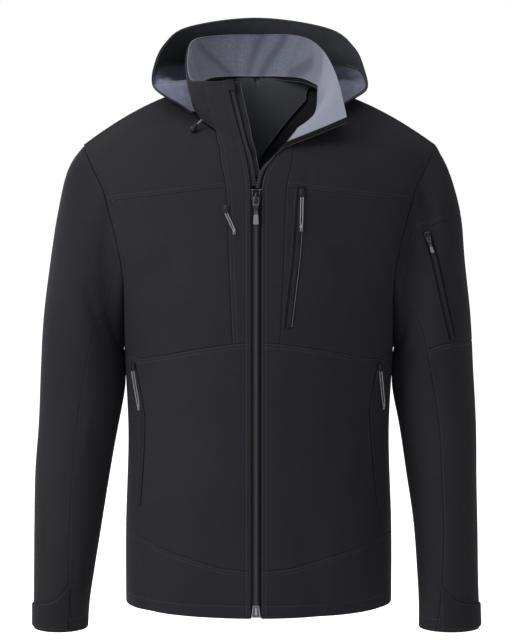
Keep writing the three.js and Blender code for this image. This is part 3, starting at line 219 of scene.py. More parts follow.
class BodyHalf:
    """One half of the front or the back, read by s (inner to outer edge) and t (along the rows)."""

    def __init__(self, rows: Table, side: str, creases: Sequence[Crease], inward: float) -> None:
        """Keeps the half's table, side, creases and the way in along Y."""
        self.rows = rows
        self.side = side
        self.creases = creases
        self.inward = inward

    def nominal(self, s: Array, t: Array) -> Array:
        """Smooth points of a half that isn't stretched or creased, at places s, t."""
        s, t = np.broadcast_arrays(np.asarray(s, float), np.asarray(t, float))
        row = {name: self.rows.read(name, t) for name in self.rows.names[1:]}
        angle = s * math.pi / 2
        across = (1 - row["round"]) * s + row["round"] * np.sin(angle)
        deep = (1 - row["round"]) * (1 - s) + row["round"] * np.cos(angle)
        return np.stack([
            row["ix"] + (row["ox"] - row["ix"]) * across,
            row["oy"] + (row["iy"] - row["oy"]) * deep,
            row["iz"] + (row["oz"] - row["iz"]) * s + row["lift"] * 4 * s * (1 - s)], -1)

    def point(self, s: Array, t: Array) -> Array:
        """Points of the creased cloth at places s, t."""
        s = np.asarray(s, float)
        p = self.nominal(s, t)
        fade = np.minimum(1, s * 8) * np.minimum(1, (1 - s) * 4)
        for crease in self.creases:
            p[..., 1] += self.inward * crease.depth_at(p[..., 0], p[..., 2]) * fade
        p[..., 0] *= SIDES[self.side]
        return p

    def locate(self, x: Array, z: Array) -> Array:
        """The places (s, t) that show at x, z from the front, by halving."""
        x, z = np.broadcast_arrays(np.asarray(x, float), np.asarray(z, float))

        def across(t: Array) -> Array:
            """The s at which the row t lies at x."""
            low, high = np.zeros(x.shape), np.ones(x.shape)
            for _ in range(22):
                middle = (low + high) / 2
                short = self.nominal(middle, t)[..., 0] < x
                low, high = np.where(short, middle, low), np.where(short, high, middle)
            return (low + high) / 2

        low, high = np.zeros(x.shape), np.full(x.shape, TOP_ROW)
        for _ in range(22):
            middle = (low + high) / 2
            short = self.nominal(across(middle), middle)[..., 2] < z
            low, high = np.where(short, middle, low), np.where(short, high, middle)
        t = (low + high) / 2
        return np.stack([across(t), t], -1)


FRONT = {side: BodyHalf(FRONT_ROWS, side, FRONT_CREASES[side], 1) for side in "RL"}
BACK = {side: BodyHalf(BACK_ROWS, side, BACK_CREASES[side], -1) for side in "RL"}


def spline(places: Array, u: Array) -> Array:
    """A uniform smooth line through places, at shares u of its way."""
    places = np.asarray(places, float)
    spans = len(places) - 1
    at = np.clip(np.asarray(u, float), 0, 1) * spans
    i = np.minimum(at.astype(int), spans - 1)
    w = (at - i)[..., None]
    ends = np.concatenate([2 * places[:1] - places[1:2], places, 2 * places[-1:] - places[-2:-1]])
    a, b = ends[i + 1], ends[i + 2]
    slope_a, slope_b = (b - ends[i]) / 2, (ends[i + 3] - a) / 2
    return (a * (2 * w**3 - 3 * w**2 + 1) + slope_a * (w**3 - 2 * w**2 + w)
            + b * (3 * w**2 - 2 * w**3) + slope_b * (w**3 - w**2))


def seam(half: BodyHalf, shown: Sequence[tuple[float, float]]) -> Edge:
    """The edge that shows from the front along x, z places."""
    places = half.locate(*np.array(shown).T)
    return lambda u: spline(places, u)


def straight(a: Sequence[float], b: Sequence[float]) -> Edge:
    """A straight edge between two places."""
    a, b = np.array(a, float), np.array(b, float)
    return lambda u: a + (b - a) * np.asarray(u, float)[..., None]


def chain(*runs: tuple[Edge, float]) -> Edge:
    """Joins edges end to end, each with its weight in the shared way."""
    stops = np.cumsum([0.0] + [weight for _, weight in runs])
    stops /= stops[-1]

    def edge(u: Array) -> Array:
        """The joined edge at shares u."""
        u = np.asarray(u, float)
        out = np.zeros(u.shape + (2,))
        for k, (run, _) in enumerate(runs):
            mine = (u >= stops[k]) if k else np.full(u.shape, True)
            out[mine] = run(np.clip((u[mine] - stops[k]) / (stops[k + 1] - stops[k]), 0, 1))
        return out

    return edge


def patch(bottom: Edge, top: Edge, inner: Edge, outer: Edge, u: Array, v: Array) -> Array:
    """Fills four edges with places.

    Args:
        bottom, top: edges that run outward.
        inner, outer: edges that run up.
        u, v: shares across and up.

    Returns:
        Places with rows from bottom to top.
    """
    low, high, near, far = bottom(u)[None], top(u)[None], inner(v)[:, None], outer(v)[:, None]
    f, g = u[None, :, None], v[:, None, None]
    ends = np.array([0.0, 1.0])
    corner_low, corner_high = bottom(ends), top(ends)
    return ((1 - g) * low + g * high + (1 - f) * near + f * far
            - (1 - f) * (1 - g) * corner_low[0] - f * (1 - g) * corner_low[1]
            - (1 - f) * g * corner_high[0] - f * g * corner_high[1])


def unit(vectors: Array) -> Array:
    """Vectors scaled to length 1."""
    return vectors / np.maximum(np.linalg.norm(vectors, axis=-1, keepdims=True), 1e-12)


class Rim(Enum):
    """How an edge of a cloth piece is finished."""

    STITCHED = "rolled into the seam and topstitched twice"
    STITCHED_ONCE = "rolled into the seam and topstitched once"
    SEWN = "rolled into the seam"
    TURNED = "turned hem with one row of stitches"
    CUT = "plain edge"


# Places of the rows that follow a rim, and the two rows that carry topstitching
RIM_STOPS = np.array([0, 0.0004, 0.0009, 0.0014, 0.0019, 0.0026, 0.0040, 0.0055, 0.0060, 0.0065, 0.0078])
STITCH_ROWS = (3, 8)
TURN_STOPS = np.array([0, 0.0004, 0.0009, 0.0014, 0.0019, 0.0026, 0.0080, 0.0170, 0.0175, 0.0180, 0.0195])
ROLL_REACH = 0.0024
ROLL_DROP = 0.0009
DIMPLE = 0.00028


@dataclass
class Cloth:
    """A sampled cloth piece: its outer face's points, rows from bottom to top, and its facing.

    Attributes:
        points: rows, columns, 3.
        facing: 1 or -1, the side of columns x rows that is the outer face.
        rims: finishes of the bottom, top, left and right edge.
    """

    points: Array
    facing: float
    rims: tuple[Rim, Rim, Rim, Rim] = (Rim.SEWN,) * 4

    @property
    def normals(self) -> Array:
        """The outer face's directions."""
        across = np.gradient(self.points, axis=1)
        up = np.gradient(self.points, axis=0)
        return unit(np.cross(across, up)) * self.facing

    def lifted(self, lift: float) -> "Cloth":
        """The same piece moved along its own directions."""
        return Cloth(self.points + self.normals * lift, self.facing, self.rims)

    def respaced(self, step: float) -> "Cloth":
        """The same surface with rows and columns that follow its rims closely.

        Args:
            step: the spacing between the rims.
        """
        points = self.points
        for axis in (0, 1):
            lines = np.moveaxis(points, axis, 0)
            ends = self.rims[:2] if axis == 0 else self.rims[2:]
            points = np.moveaxis(spaced_lines(lines, ends, step), 0, axis)
        return Cloth(points, self.facing, self.rims)

    def along(self, edge: int, row: int) -> Array:
        """The points that follow edge 0 to 3 (bottom, top, left, right) at a rim row."""
        return (self.points[row], self.points[-1 - row], self.points[:, row],
                self.points[:, -1 - row])[edge]

    def finished(self) -> "Cloth":
        """The piece with its edges rolled in and its stitch rows drawn down."""
        points, normals = self.points.copy(), self.normals
        drop = np.zeros(points.shape[:2])
        for edge, rim in enumerate(self.rims):
            if rim is Rim.CUT:
                continue
            for row in range(len(RIM_STOPS)):
                depth = 0.0
                if RIM_STOPS[row] < ROLL_REACH:
                    depth = ROLL_DROP * (1 - RIM_STOPS[row] / ROLL_REACH) ** 2
                if row in stitch_rows_of(rim):
                    depth += DIMPLE
                target = (drop[row], drop[-1 - row], drop[:, row], drop[:, -1 - row])[edge]
                np.maximum(target, depth, out=target)
        points -= normals * drop[..., None]
        return Cloth(points, self.facing, self.rims)

    def sizes(self) -> tuple[float, float, float]:
        """Mean width, mean length and area of the cut cloth."""
        p = self.points
        width = np.linalg.norm(np.diff(p, axis=1), axis=-1).sum(1).mean()
        length = np.linalg.norm(np.diff(p, axis=0), axis=-1).sum(0).mean()
        a, b = np.diff(p, axis=1)[:-1], np.diff(p, axis=0)[:, :-1]
        return width, length, np.linalg.norm(np.cross(a, b), axis=-1).sum()

    def build(self, name: str, thickness: float) -> bpy.types.Object:
        """Makes the closed wall.

        Args:
            name: the new object's name.
            thickness: the wall's thickness, inward from the outer face.

        Returns:
            The object, with a UV map in metres of cloth.
        """
        p, n = self.points.copy(), self.normals
        rows, columns = p.shape[:2]
        out = np.zeros_like(p)
        out[0] += unit(p[0] - p[1])
        out[-1] += unit(p[-1] - p[-2])
        out[:, 0] += unit(p[:, 0] - p[:, 1])
        out[:, -1] += unit(p[:, -1] - p[:, -2])
        p -= out * SEAM_GAP
        ids = np.arange(rows * columns).reshape(rows, columns)
        loop = np.concatenate([ids[0, :-1], ids[:-1, -1], ids[-1, :0:-1], ids[:0:-1, 0]])
        flat, inner = p.reshape(-1, 3), (p - n * thickness).reshape(-1, 3)
        middle = (flat[loop] + inner[loop]) / 2 + unit(out.reshape(-1, 3)[loop]) * thickness * 0.32
        count = rows * columns
        a, b, c, d = ids[:-1, :-1].ravel(), ids[:-1, 1:].ravel(), ids[1:, 1:].ravel(), ids[1:, :-1].ravel()
        ring = np.arange(len(loop)) + 2 * count
        next_loop, next_ring = np.roll(loop, -1), np.roll(ring, -1)
        quads = [np.stack([a, b, c, d], 1), np.stack([a, d, c, b], 1) + count,
                 np.stack([next_loop, loop, ring, next_ring], 1),
                 np.stack([next_ring, ring, loop + count, next_loop + count], 1)]
        faces = np.concatenate(quads)
        if self.facing < 0:
            faces = faces[:, ::-1]
        mesh = bpy.data.meshes.new(name)
        mesh.from_pydata(np.concatenate([flat, inner, middle]).tolist(), [], faces.tolist())
        uv = self.cloth_map()
        uv = np.concatenate([uv, uv, uv[loop]])
        corners = np.zeros(len(mesh.loops), int)
        mesh.loops.foreach_get("vertex_index", corners)
        mesh.uv_layers.new(name="cloth").data.foreach_set("uv", uv[corners].astype(np.float32).ravel())
        mesh.shade_smooth()
        return linked(name, mesh)

    def cloth_map(self) -> Array:
        """Distances across and up the cloth for each outer point."""
        width, length, _ = self.sizes()
        p = self.points
        across = np.linalg.norm(np.diff(p, axis=1), axis=-1).mean(0)
        up = np.linalg.norm(np.diff(p, axis=0), axis=-1).mean(1)
        u = np.concatenate([[0], np.cumsum(across)]) - width / 2
        v = np.concatenate([[0], np.cumsum(up)]) - length / 2
        return np.stack(np.meshgrid(u, v), -1).reshape(-1, 2)


def stitch_rows_of(rim: Rim) -> tuple[int, ...]:
    """The rim rows that carry stitches."""
    return {Rim.STITCHED: STITCH_ROWS, Rim.STITCHED_ONCE: STITCH_ROWS[:1],
            Rim.TURNED: STITCH_ROWS[1:]}.get(rim, ())


def spaced_lines(lines: Array, ends: Sequence[Rim], step: float) -> Array:
    """Samples lines again so that their ends have the rims' rows.

    Args:
        lines: count along the line first, then lines, then 3.
        ends: the rims at the lines' start and end.
        step: the spacing between the rims.

    Returns:
        The new samples in the same order.
    """
    pieces = np.linalg.norm(np.diff(lines, axis=0), axis=-1)
    length = np.concatenate([np.zeros((1, lines.shape[1])), np.cumsum(pieces, 0)])
    whole = length[-1]
    start, end = [TURN_STOPS if rim is Rim.TURNED else RIM_STOPS for rim in ends]
    count = max(3, int(round((whole.mean() - start[-1] - end[-1]) / step)))
    between = np.linspace(0, 1, count + 1)[1:-1]
    out = np.zeros((len(start) + len(between) + len(end), lines.shape[1], 3))
    for k in range(lines.shape[1]):
        squeeze = min(1.0, 0.45 * whole[k] / max(start[-1], end[-1]))
        head, tail = start * squeeze, whole[k] - end[::-1] * squeeze
        stops = np.concatenate([head, head[-1] + (tail[0] - head[-1]) * between, tail])
        for c in range(3):
            out[:, k, c] = np.interp(stops, length[:, k], lines[:, k, c])
    return out


def linked(name: str, data: bpy.types.ID) -> bpy.types.Object:
    """A new object with that data, in the scene."""
    obj = bpy.data.objects.new(name, data)
    bpy.context.scene.collection.objects.link(obj)
    return obj


def mesh_of(name: str, points: Array, faces: Sequence[Sequence[int]], smooth: bool = True) -> bpy.types.Object:
    """A new mesh object from points and faces."""
    mesh = bpy.data.meshes.new(name)
    mesh.from_pydata(np.asarray(points, float).tolist(), [], [list(map(int, f)) for f in faces])
    if smooth:
        mesh.shade_smooth()
    return linked(name, mesh)


class Nodes:
    """Builds a node tree by short calls."""

    def __init__(self, tree: bpy.types.NodeTree) -> None:
        """Keeps the tree, emptied."""
        self.tree = tree
        tree.nodes.clear()

    def add(self, kind: str, inputs: dict[str | int, object] | None = None, **settings: object) -> bpy.types.Node:
        """Adds a node.

        Args:
            kind: the node's type.
            inputs: values or sockets for its inputs.
            settings: its own properties.

        Returns:
            The node.
        """
        node = self.tree.nodes.new(kind)
        for key, value in settings.items():
            setattr(node, key, value)
        for key, value in (inputs or {}).items():
            if isinstance(value, bpy.types.NodeSocket):
                self.tree.links.new(value, node.inputs[key])
            else:
                node.inputs[key].default_value = value
        return node

    def math(self, operation: str, *values: object) -> bpy.types.NodeSocket:
        """A math node's value."""
        return self.add("ShaderNodeMath", dict(enumerate(values)), operation=operation).outputs[0]

    def ramp(self, value: bpy.types.NodeSocket, low: float, high: float) -> bpy.types.NodeSocket:
        """A smooth mask that goes from 0 to 1 between two values."""
        return self.add("ShaderNodeMapRange", {"Value": value, "From Min": low, "From Max": high},
                        interpolation_type="SMOOTHSTEP").outputs[0]

    def mix(self, factor: object, a: object, b: object) -> bpy.types.NodeSocket:
        """A colour between two."""
        return self.add("ShaderNodeMix", {0: factor, 6: a, 7: b}, data_type="RGBA").outputs[2]


def group(name: str, inputs: Sequence[tuple[str, str, float | None]], outputs: Sequence[tuple[str, str]],
          fill: Callable[[Nodes, bpy.types.Node, bpy.types.Node], None]) -> bpy.types.NodeTree:
    """Builds a shared shader node group once.

    Args:
        name: the group's name.
        inputs: each input's name, socket type and value.
        outputs: each output's name and socket type.
        fill: makes the nodes between the group's input and output.

    Returns:
        The group.
    """
    found = bpy.data.node_groups.get(name)
    if found:
        return found
    tree = bpy.data.node_groups.new(name, "ShaderNodeTree")
    for label, kind, value in inputs:
        socket = tree.interface.new_socket(label, in_out="INPUT", socket_type=kind)
        if value is not None:
            socket.default_value = value
    for label, kind in outputs:
        tree.interface.new_socket(label, in_out="OUTPUT", socket_type=kind)
    nodes = Nodes(tree)
    source = nodes.add("NodeGroupInput")
    target = nodes.add("NodeGroupOutput")
    fill(nodes, source, target)
    return tree


def weave_group() -> bpy.types.NodeTree:
    """Plain weave: over and under threads on the cloth's own map, with a little unevenness."""

    def fill(nodes: Nodes, source: bpy.types.Node, target: bpy.types.Node) -> None:
        """Makes the weave from two crossed waves."""
        place = source.outputs["Cloth"]
        noise = nodes.add("ShaderNodeTexNoise", {"Vector": place, "Scale": 900.0, "Detail": 2.0})
        split = nodes.add("ShaderNodeSeparateXYZ", {0: place})
        turn = nodes.math("MULTIPLY", source.outputs["Threads"], math.tau / 2)
        u = nodes.math("SINE", nodes.math("MULTIPLY", split.outputs[0], turn))
        v = nodes.math("SINE", nodes.math("MULTIPLY", split.outputs[1], turn))
        cross = nodes.math("MULTIPLY", u, v)
        height = nodes.math("ADD", nodes.math("ABSOLUTE", cross),
                            nodes.math("MULTIPLY", noise.outputs[0], source.outputs["Unevenness"]))
        nodes.tree.links.new(height, target.inputs["Height"])
        nodes.tree.links.new(nodes.ramp(cross, -0.2, 0.2), target.inputs["Over"])

    return group("plain_weave", [("Cloth", "NodeSocketVector", None), ("Threads", "NodeSocketFloat", 2200.0),
                                 ("Unevenness", "NodeSocketFloat", 0.6)],
                 [("Height", "NodeSocketFloat"), ("Over", "NodeSocketFloat")], fill)


def mottle_group() -> bpy.types.NodeTree:
    """Slow unevenness of dyed and worn cloth, as a mask round 0.5."""

    def fill(nodes: Nodes, source: bpy.types.Node, target: bpy.types.Node) -> None:
        """Adds a broad and a fine noise."""
        broad = nodes.add("ShaderNodeTexNoise", {"Vector": source.outputs["Place"],
                                                 "Scale": source.outputs["Broad"], "Detail": 3.0})
        fine = nodes.add("ShaderNodeTexNoise", {"Vector": source.outputs["Place"],
                                                "Scale": source.outputs["Fine"], "Detail": 4.0,
                                                "Roughness": 0.65})
        both = nodes.math("ADD", nodes.math("MULTIPLY", broad.outputs[0], 0.5),
                          nodes.math("MULTIPLY", fine.outputs[0], 0.5))
        nodes.tree.links.new(nodes.ramp(both, 0.32, 0.68), target.inputs["Mask"])

    return group("mottle", [("Place", "NodeSocketVector", None), ("Broad", "NodeSocketFloat", 9.0),
                            ("Fine", "NodeSocketFloat", 160.0)], [("Mask", "NodeSocketFloat")], fill)


def edge_wear_group() -> bpy.types.NodeTree:
    """Where a hard edge is rubbed: a mask from the shape's own pointiness and a fine noise."""

    def fill(nodes: Nodes, source: bpy.types.Node, target: bpy.types.Node) -> None:
        """Mixes pointiness with noise."""
        shape = nodes.add("ShaderNodeNewGeometry").outputs["Pointiness"]
        noise = nodes.add("ShaderNodeTexNoise", {"Vector": source.outputs["Place"], "Scale": 700.0,
                                                 "Detail": 4.0}).outputs[0]
        rubbed = nodes.math("ADD", shape, nodes.math("MULTIPLY", nodes.math("SUBTRACT", noise, 0.5), 0.08))
        nodes.tree.links.new(nodes.ramp(rubbed, 0.52, 0.60), target.inputs["Mask"])

    return group("edge_wear", [("Place", "NodeSocketVector", None)], [("Mask", "NodeSocketFloat")], fill)


Colour = tuple[float, float, float]


def linear(colour: Colour) -> tuple[float, float, float, float]:
    """An sRGB colour from 0 to 255 as linear light."""
    values = [c / 255 for c in colour]
    return (*[c / 12.92 if c <= 0.04045 else ((c + 0.055) / 1.055) ** 2.4 for c in values], 1.0)


def shaded(name: str, nodes_of: Callable[[Nodes], dict[str, object]], **constants: object) -> bpy.types.Material:
    """A material with one Principled shader.

    Args:
        name: the material's name.
        nodes_of: makes the nodes and gives the sockets for the shader's inputs.
        constants: the shader's plain values, with spaces in their names as underscores.

    Returns:
        The material.
    """
    material = bpy.data.materials.new(name)
    material.use_nodes = True
    nodes = Nodes(material.node_tree)
    shader = nodes.add("ShaderNodeBsdfPrincipled",
                       {key.replace("_", " "): value for key, value in constants.items()})
    for key, value in nodes_of(nodes).items():
        if isinstance(value, bpy.types.NodeSocket):
            nodes.tree.links.new(value, shader.inputs[key])
        else:
            shader.inputs[key].default_value = value
    out = nodes.add("ShaderNodeOutputMaterial")
    nodes.tree.links.new(shader.outputs[0], out.inputs[0])
    return material


@dataclass(frozen=True)
class WovenFinish:
    """Matt woven or knitted cloth: a weave on the cloth's own map, under a slow mottle.

    Attributes:
        name: the material's name.
        dark, light: the dye's two colours, sRGB.
        threads: thread count for each metre.
        relief: the weave's height.
        roughness: the shader's roughness.
        sheen: the nap's weight.
        broad, fine: scales of the mottle.
        gloss: the shader's specular level.
    """

    name: str
    dark: Colour
    light: Colour
    threads: float = 1700.0
    relief: float = 0.12
    roughness: float = 0.82
    sheen: float = 0.05
    broad: float = 7.0
    fine: float = 120.0
    gloss: float = 0.18

    def material(self) -> bpy.types.Material:
        """Builds the material."""

        def nodes_of(nodes: Nodes) -> dict[str, object]:
            """Weave and mottle into colour, roughness and relief."""
            cloth = nodes.add("ShaderNodeUVMap", uv_map="cloth").outputs[0]
            place = nodes.add("ShaderNodeTexCoord").outputs["Object"]
            weave = nodes.add("ShaderNodeGroup", node_tree=weave_group())
            nodes.tree.links.new(cloth, weave.inputs["Cloth"])
            weave.inputs["Threads"].default_value = self.threads
            mottle = nodes.add("ShaderNodeGroup", node_tree=mottle_group())
            nodes.tree.links.new(place, mottle.inputs["Place"])
            mottle.inputs["Broad"].default_value = self.broad
            mottle.inputs["Fine"].default_value = self.fine
            dyed = nodes.mix(mottle.outputs[0], linear(self.dark), linear(self.light))
            threaded = nodes.mix(nodes.math("MULTIPLY", weave.outputs["Over"], 0.12), dyed,
                                 linear(self.light))
            rough = nodes.add("ShaderNodeMapRange", {"Value": mottle.outputs[0],
                                                     "To Min": self.roughness - 0.06,
                                                     "To Max": self.roughness + 0.06}).outputs[0]
            bump = nodes.add("ShaderNodeBump", {"Strength": self.relief, "Distance": 0.0004,
                                                "Height": weave.outputs["Height"]})
            return {"Base Color": threaded, "Roughness": rough, "Normal": bump.outputs[0]}

        return shaded(self.name, nodes_of, Sheen_Weight=self.sheen, Sheen_Roughness=0.5,
                      Specular_IOR_Level=self.gloss)


@dataclass(frozen=True)
class FleeceFinish:
    """Brushed fleece: clumps of nap, lighter at their tips, under painted light from a point attribute: painted fold
    shade towards the root colour and a painted highlight towards the tip colour.

    Attributes:
        name: the material's name.
        root, middle, tip: colours from the root to the tip of the nap, sRGB.
    """

    name: str
    root: Colour
    middle: Colour
    tip: Colour

    def material(self) -> bpy.types.Material:
        """Builds the material."""

        def nodes_of(nodes: Nodes) -> dict[str, object]:
            """Stretched noises for the nap, into colour and relief, then painted fold shade and a painted highlight
            from a point attribute.
            """
            cloth = nodes.add("ShaderNodeUVMap", uv_map="cloth").outputs[0]
            lean = nodes.add("ShaderNodeMapping", {"Vector": cloth, "Rotation": (0, 0, 0.5),
                                                   "Scale": (1.0, 0.45, 1.0)}).outputs[0]
            clumps = nodes.add("ShaderNodeTexNoise", {"Vector": lean, "Scale": 1300.0, "Detail": 4.0,
                                                      "Roughness": 0.7}).outputs[0]
            brushed = nodes.add("ShaderNodeTexNoise", {"Vector": cloth, "Scale": 430.0, "Detail": 3.0,
                                                       "Distortion": 0.8}).outputs[0]
            shade = nodes.mix(nodes.ramp(clumps, 0.36, 0.66), linear(self.root), linear(self.middle))
            lit = nodes.mix(nodes.math("MULTIPLY", nodes.ramp(brushed, 0.42, 0.68), 0.35), shade,
                            linear(self.tip))
            # Painted light from the point attribute: below 0.5 it darkens towards the root colour (painted shade in
            # the folds), above 0.5 it lifts towards the tip colour (painted highlight on the turned-out end)
            painted_light = nodes.add("ShaderNodeAttribute", attribute_name="painted_light").outputs["Fac"]
            turned = nodes.mix(nodes.math("MULTIPLY", nodes.ramp(painted_light, 0.5, 1.0), 0.75), lit, linear(self.tip))
            colour = nodes.mix(nodes.math("SUBTRACT", 1.0, nodes.ramp(painted_light, 0.0, 0.5)), turned,
                               linear(self.root))
            height = nodes.math("ADD", clumps, nodes.math("MULTIPLY", brushed, 0.4))
            bump = nodes.add("ShaderNodeBump", {"Strength": 0.45, "Distance": 0.0009, "Height": height})
            return {"Base Color": colour, "Normal": bump.outputs[0]}

        return shaded(self.name, nodes_of, Roughness=0.95, Sheen_Weight=0.35, Sheen_Roughness=0.6,
                      Specular_IOR_Level=0.15)


@dataclass(frozen=True)
class HardFinish:
    """Moulded plastic or coated metal, rubbed along its edges.

    Attributes:
        name: the material's name.
        body, worn: colours of the surface and of its rubbed edges, sRGB.
        roughness, metal: the shader's values.
        grain: height of the moulded grain.
        gloss: the shader's specular level.
    """

    name: str
    body: Colour
    worn: Colour
    roughness: float
    metal: float = 0.0
    grain: float = 0.15
    gloss: float = 0.5

    def material(self) -> bpy.types.Material:
        """Builds the material."""

        def nodes_of(nodes: Nodes) -> dict[str, object]:
            """Edge wear and grain into colour, roughness and relief."""
            place = nodes.add("ShaderNodeTexCoord").outputs["Object"]
            wear = nodes.add("ShaderNodeGroup", node_tree=edge_wear_group())
            nodes.tree.links.new(place, wear.inputs["Place"])
            grain = nodes.add("ShaderNodeTexNoise", {"Vector": place, "Scale": 2600.0, "Detail": 3.0}).outputs[0]
            smear = nodes.add("ShaderNodeTexNoise", {"Vector": place, "Scale": 240.0, "Detail": 3.0}).outputs[0]
            rubbed = nodes.mix(wear.outputs[0], linear(self.body), linear(self.worn))
            rough = nodes.add("ShaderNodeMapRange", {"Value": smear, "From Min": 0.3, "From Max": 0.7,
                                                     "To Min": self.roughness - 0.08,
                                                     "To Max": self.roughness + 0.1}).outputs[0]
            bump = nodes.add("ShaderNodeBump", {"Strength": self.grain, "Distance": 0.0002, "Height": grain})
            return {"Base Color": rubbed, "Roughness": rough, "Normal": bump.outputs[0]}

        return shaded(self.name, nodes_of, Metallic=self.metal, Specular_IOR_Level=self.gloss)


@dataclass(frozen=True)
class CordFinish:
    """Braided cord: crossed strands that follow the cord's own map.

    Attributes:
        name: the material's name.
        dark, light: colours between and on the strands, sRGB.
        strands: strands round and along, for each unit of the map.
    """

    name: str
    dark: Colour
    light: Colour
    strands: tuple[float, float] = (4.0, 900.0)

    def material(self) -> bpy.types.Material:
        """Builds the material."""

        def nodes_of(nodes: Nodes) -> dict[str, object]:
            """Two leaning waves make the braid."""
            place = nodes.add("ShaderNodeTexCoord").outputs["Object"]
            split = nodes.add("ShaderNodeSeparateXYZ", {0: place})
            along = nodes.math("MULTIPLY", split.outputs[2], self.strands[1] * math.tau)
            round_it = nodes.math("MULTIPLY", nodes.math("ADD", split.outputs[0], split.outputs[1]),
                                  self.strands[1] * math.tau)
            left = nodes.math("SINE", nodes.math("ADD", along, round_it))
            right = nodes.math("SINE", nodes.math("SUBTRACT", along, round_it))
            braid = nodes.math("MAXIMUM", left, right)
            colour = nodes.mix(nodes.ramp(braid, -0.2, 0.9), linear(self.dark), linear(self.light))
            bump = nodes.add("ShaderNodeBump", {"Strength": 0.6, "Distance": 0.0003, "Height": braid})
            return {"Base Color": colour, "Normal": bump.outputs[0]}

        return shaded(self.name, nodes_of, Roughness=0.75, Sheen_Weight=0.2, Specular_IOR_Level=0.3)


class Finish(Enum):
    """The jacket's finishes, with the record's slot that each belongs to."""

    SHELL = ("shell", WovenFinish("softshell", (23, 23, 27), (31, 31, 36), sheen=0.02))
    TRIM = ("shell_trim", WovenFinish("softshell_trim", (20, 20, 23), (27, 27, 31), sheen=0.02))
    FLEECE = ("fleece", FleeceFinish("collar_fleece", (66, 69, 83), (100, 104, 119), (124, 128, 142)))
    KNIT = ("hood_lining", WovenFinish("hood_knit", (86, 89, 106), (112, 116, 134), 1500.0, 0.2, 0.75, 0.1))
    FACING = ("facing", WovenFinish("plain_facing", (54, 56, 60), (63, 65, 70), 1300.0, 0.25, 0.85, 0.02))
    TAPE = ("zip_tape", WovenFinish("coated_tape", (19, 19, 20), (28, 28, 29), 1500.0, 0.5, 0.85, 0.0, gloss=0.04))
    LIP = ("zip_tape", WovenFinish("pocket_lip", (22, 22, 26), (29, 29, 34), sheen=0.02))
    TEETH = ("zip_tape", HardFinish("zip_teeth", (15, 15, 16), (52, 52, 54), 0.55, gloss=0.22))
    THREAD = ("shell", HardFinish("topstitch_thread", (38, 38, 42), (52, 52, 56), 0.6))
    BINDING = ("shell_trim", HardFinish("binding_thread", (92, 93, 97), (140, 140, 145), 0.7))
    SLIDER = ("slider", HardFinish("slider_enamel", (14, 14, 15), (120, 120, 124), 0.32, 0.6))
    SMALL_SLIDER = ("slider", HardFinish("small_slider_enamel", (10, 10, 11), (38, 38, 40), 0.45, gloss=0.3))
    TAB = ("pull_tab", HardFinish("pull_grip", (104, 105, 108), (160, 160, 164), 0.5))
    BOX = ("zip_box", HardFinish("box_metal", (96, 97, 100), (190, 190, 194), 0.35, 0.8))
    CORD = ("pull_cord", CordFinish("pull_braid", (60, 60, 64), (156, 156, 161)))
    LOCK = ("cord_lock", HardFinish("lock_shell", (9, 9, 10), (22, 22, 24), 0.35, gloss=0.35))

    def dress(self, obj: bpy.types.Object) -> None:
        """Gives an object this finish's material, in place of its others."""
        slot, finish = self.value
        material = bpy.data.materials.get(finish.name) or finish.material()
        obj.data.materials.clear()
        obj.data.materials.append(material)


BODY = "jacket"


def settle(obj: bpy.types.Object, finish: Finish, *nodes: str, body: str = BODY) -> bpy.types.Object:
    """Dresses a piece, makes it ride and stand for its nodes."""
    finish.dress(obj)
    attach(obj, body)
    if nodes:
        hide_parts(*nodes)
    LOG.info("%s: %d faces", obj.name, len(obj.data.polygons) if obj.type == "MESH" else 0)
    return obj


def declare(obj: bpy.types.Object, cloth: Cloth, held: str, *rests_on: str) -> None:
    """Works out a cloth piece's cut area and keeps none of it; a piece narrower than a sheet is logged as a tape.

    Args:
        obj: the piece.
        cloth: its surface.
        held: how it hangs; not used.
        rests_on: what it hangs from; not used.
    """
    width, length, area = cloth.sizes()
    if min(width, length) < NARROWEST_SHEET:
        LOG.info("%s: a tape %.1f mm wide", obj.name, width * 1000)
        return
    max(min(area, width * length), 0.3 * width * length)


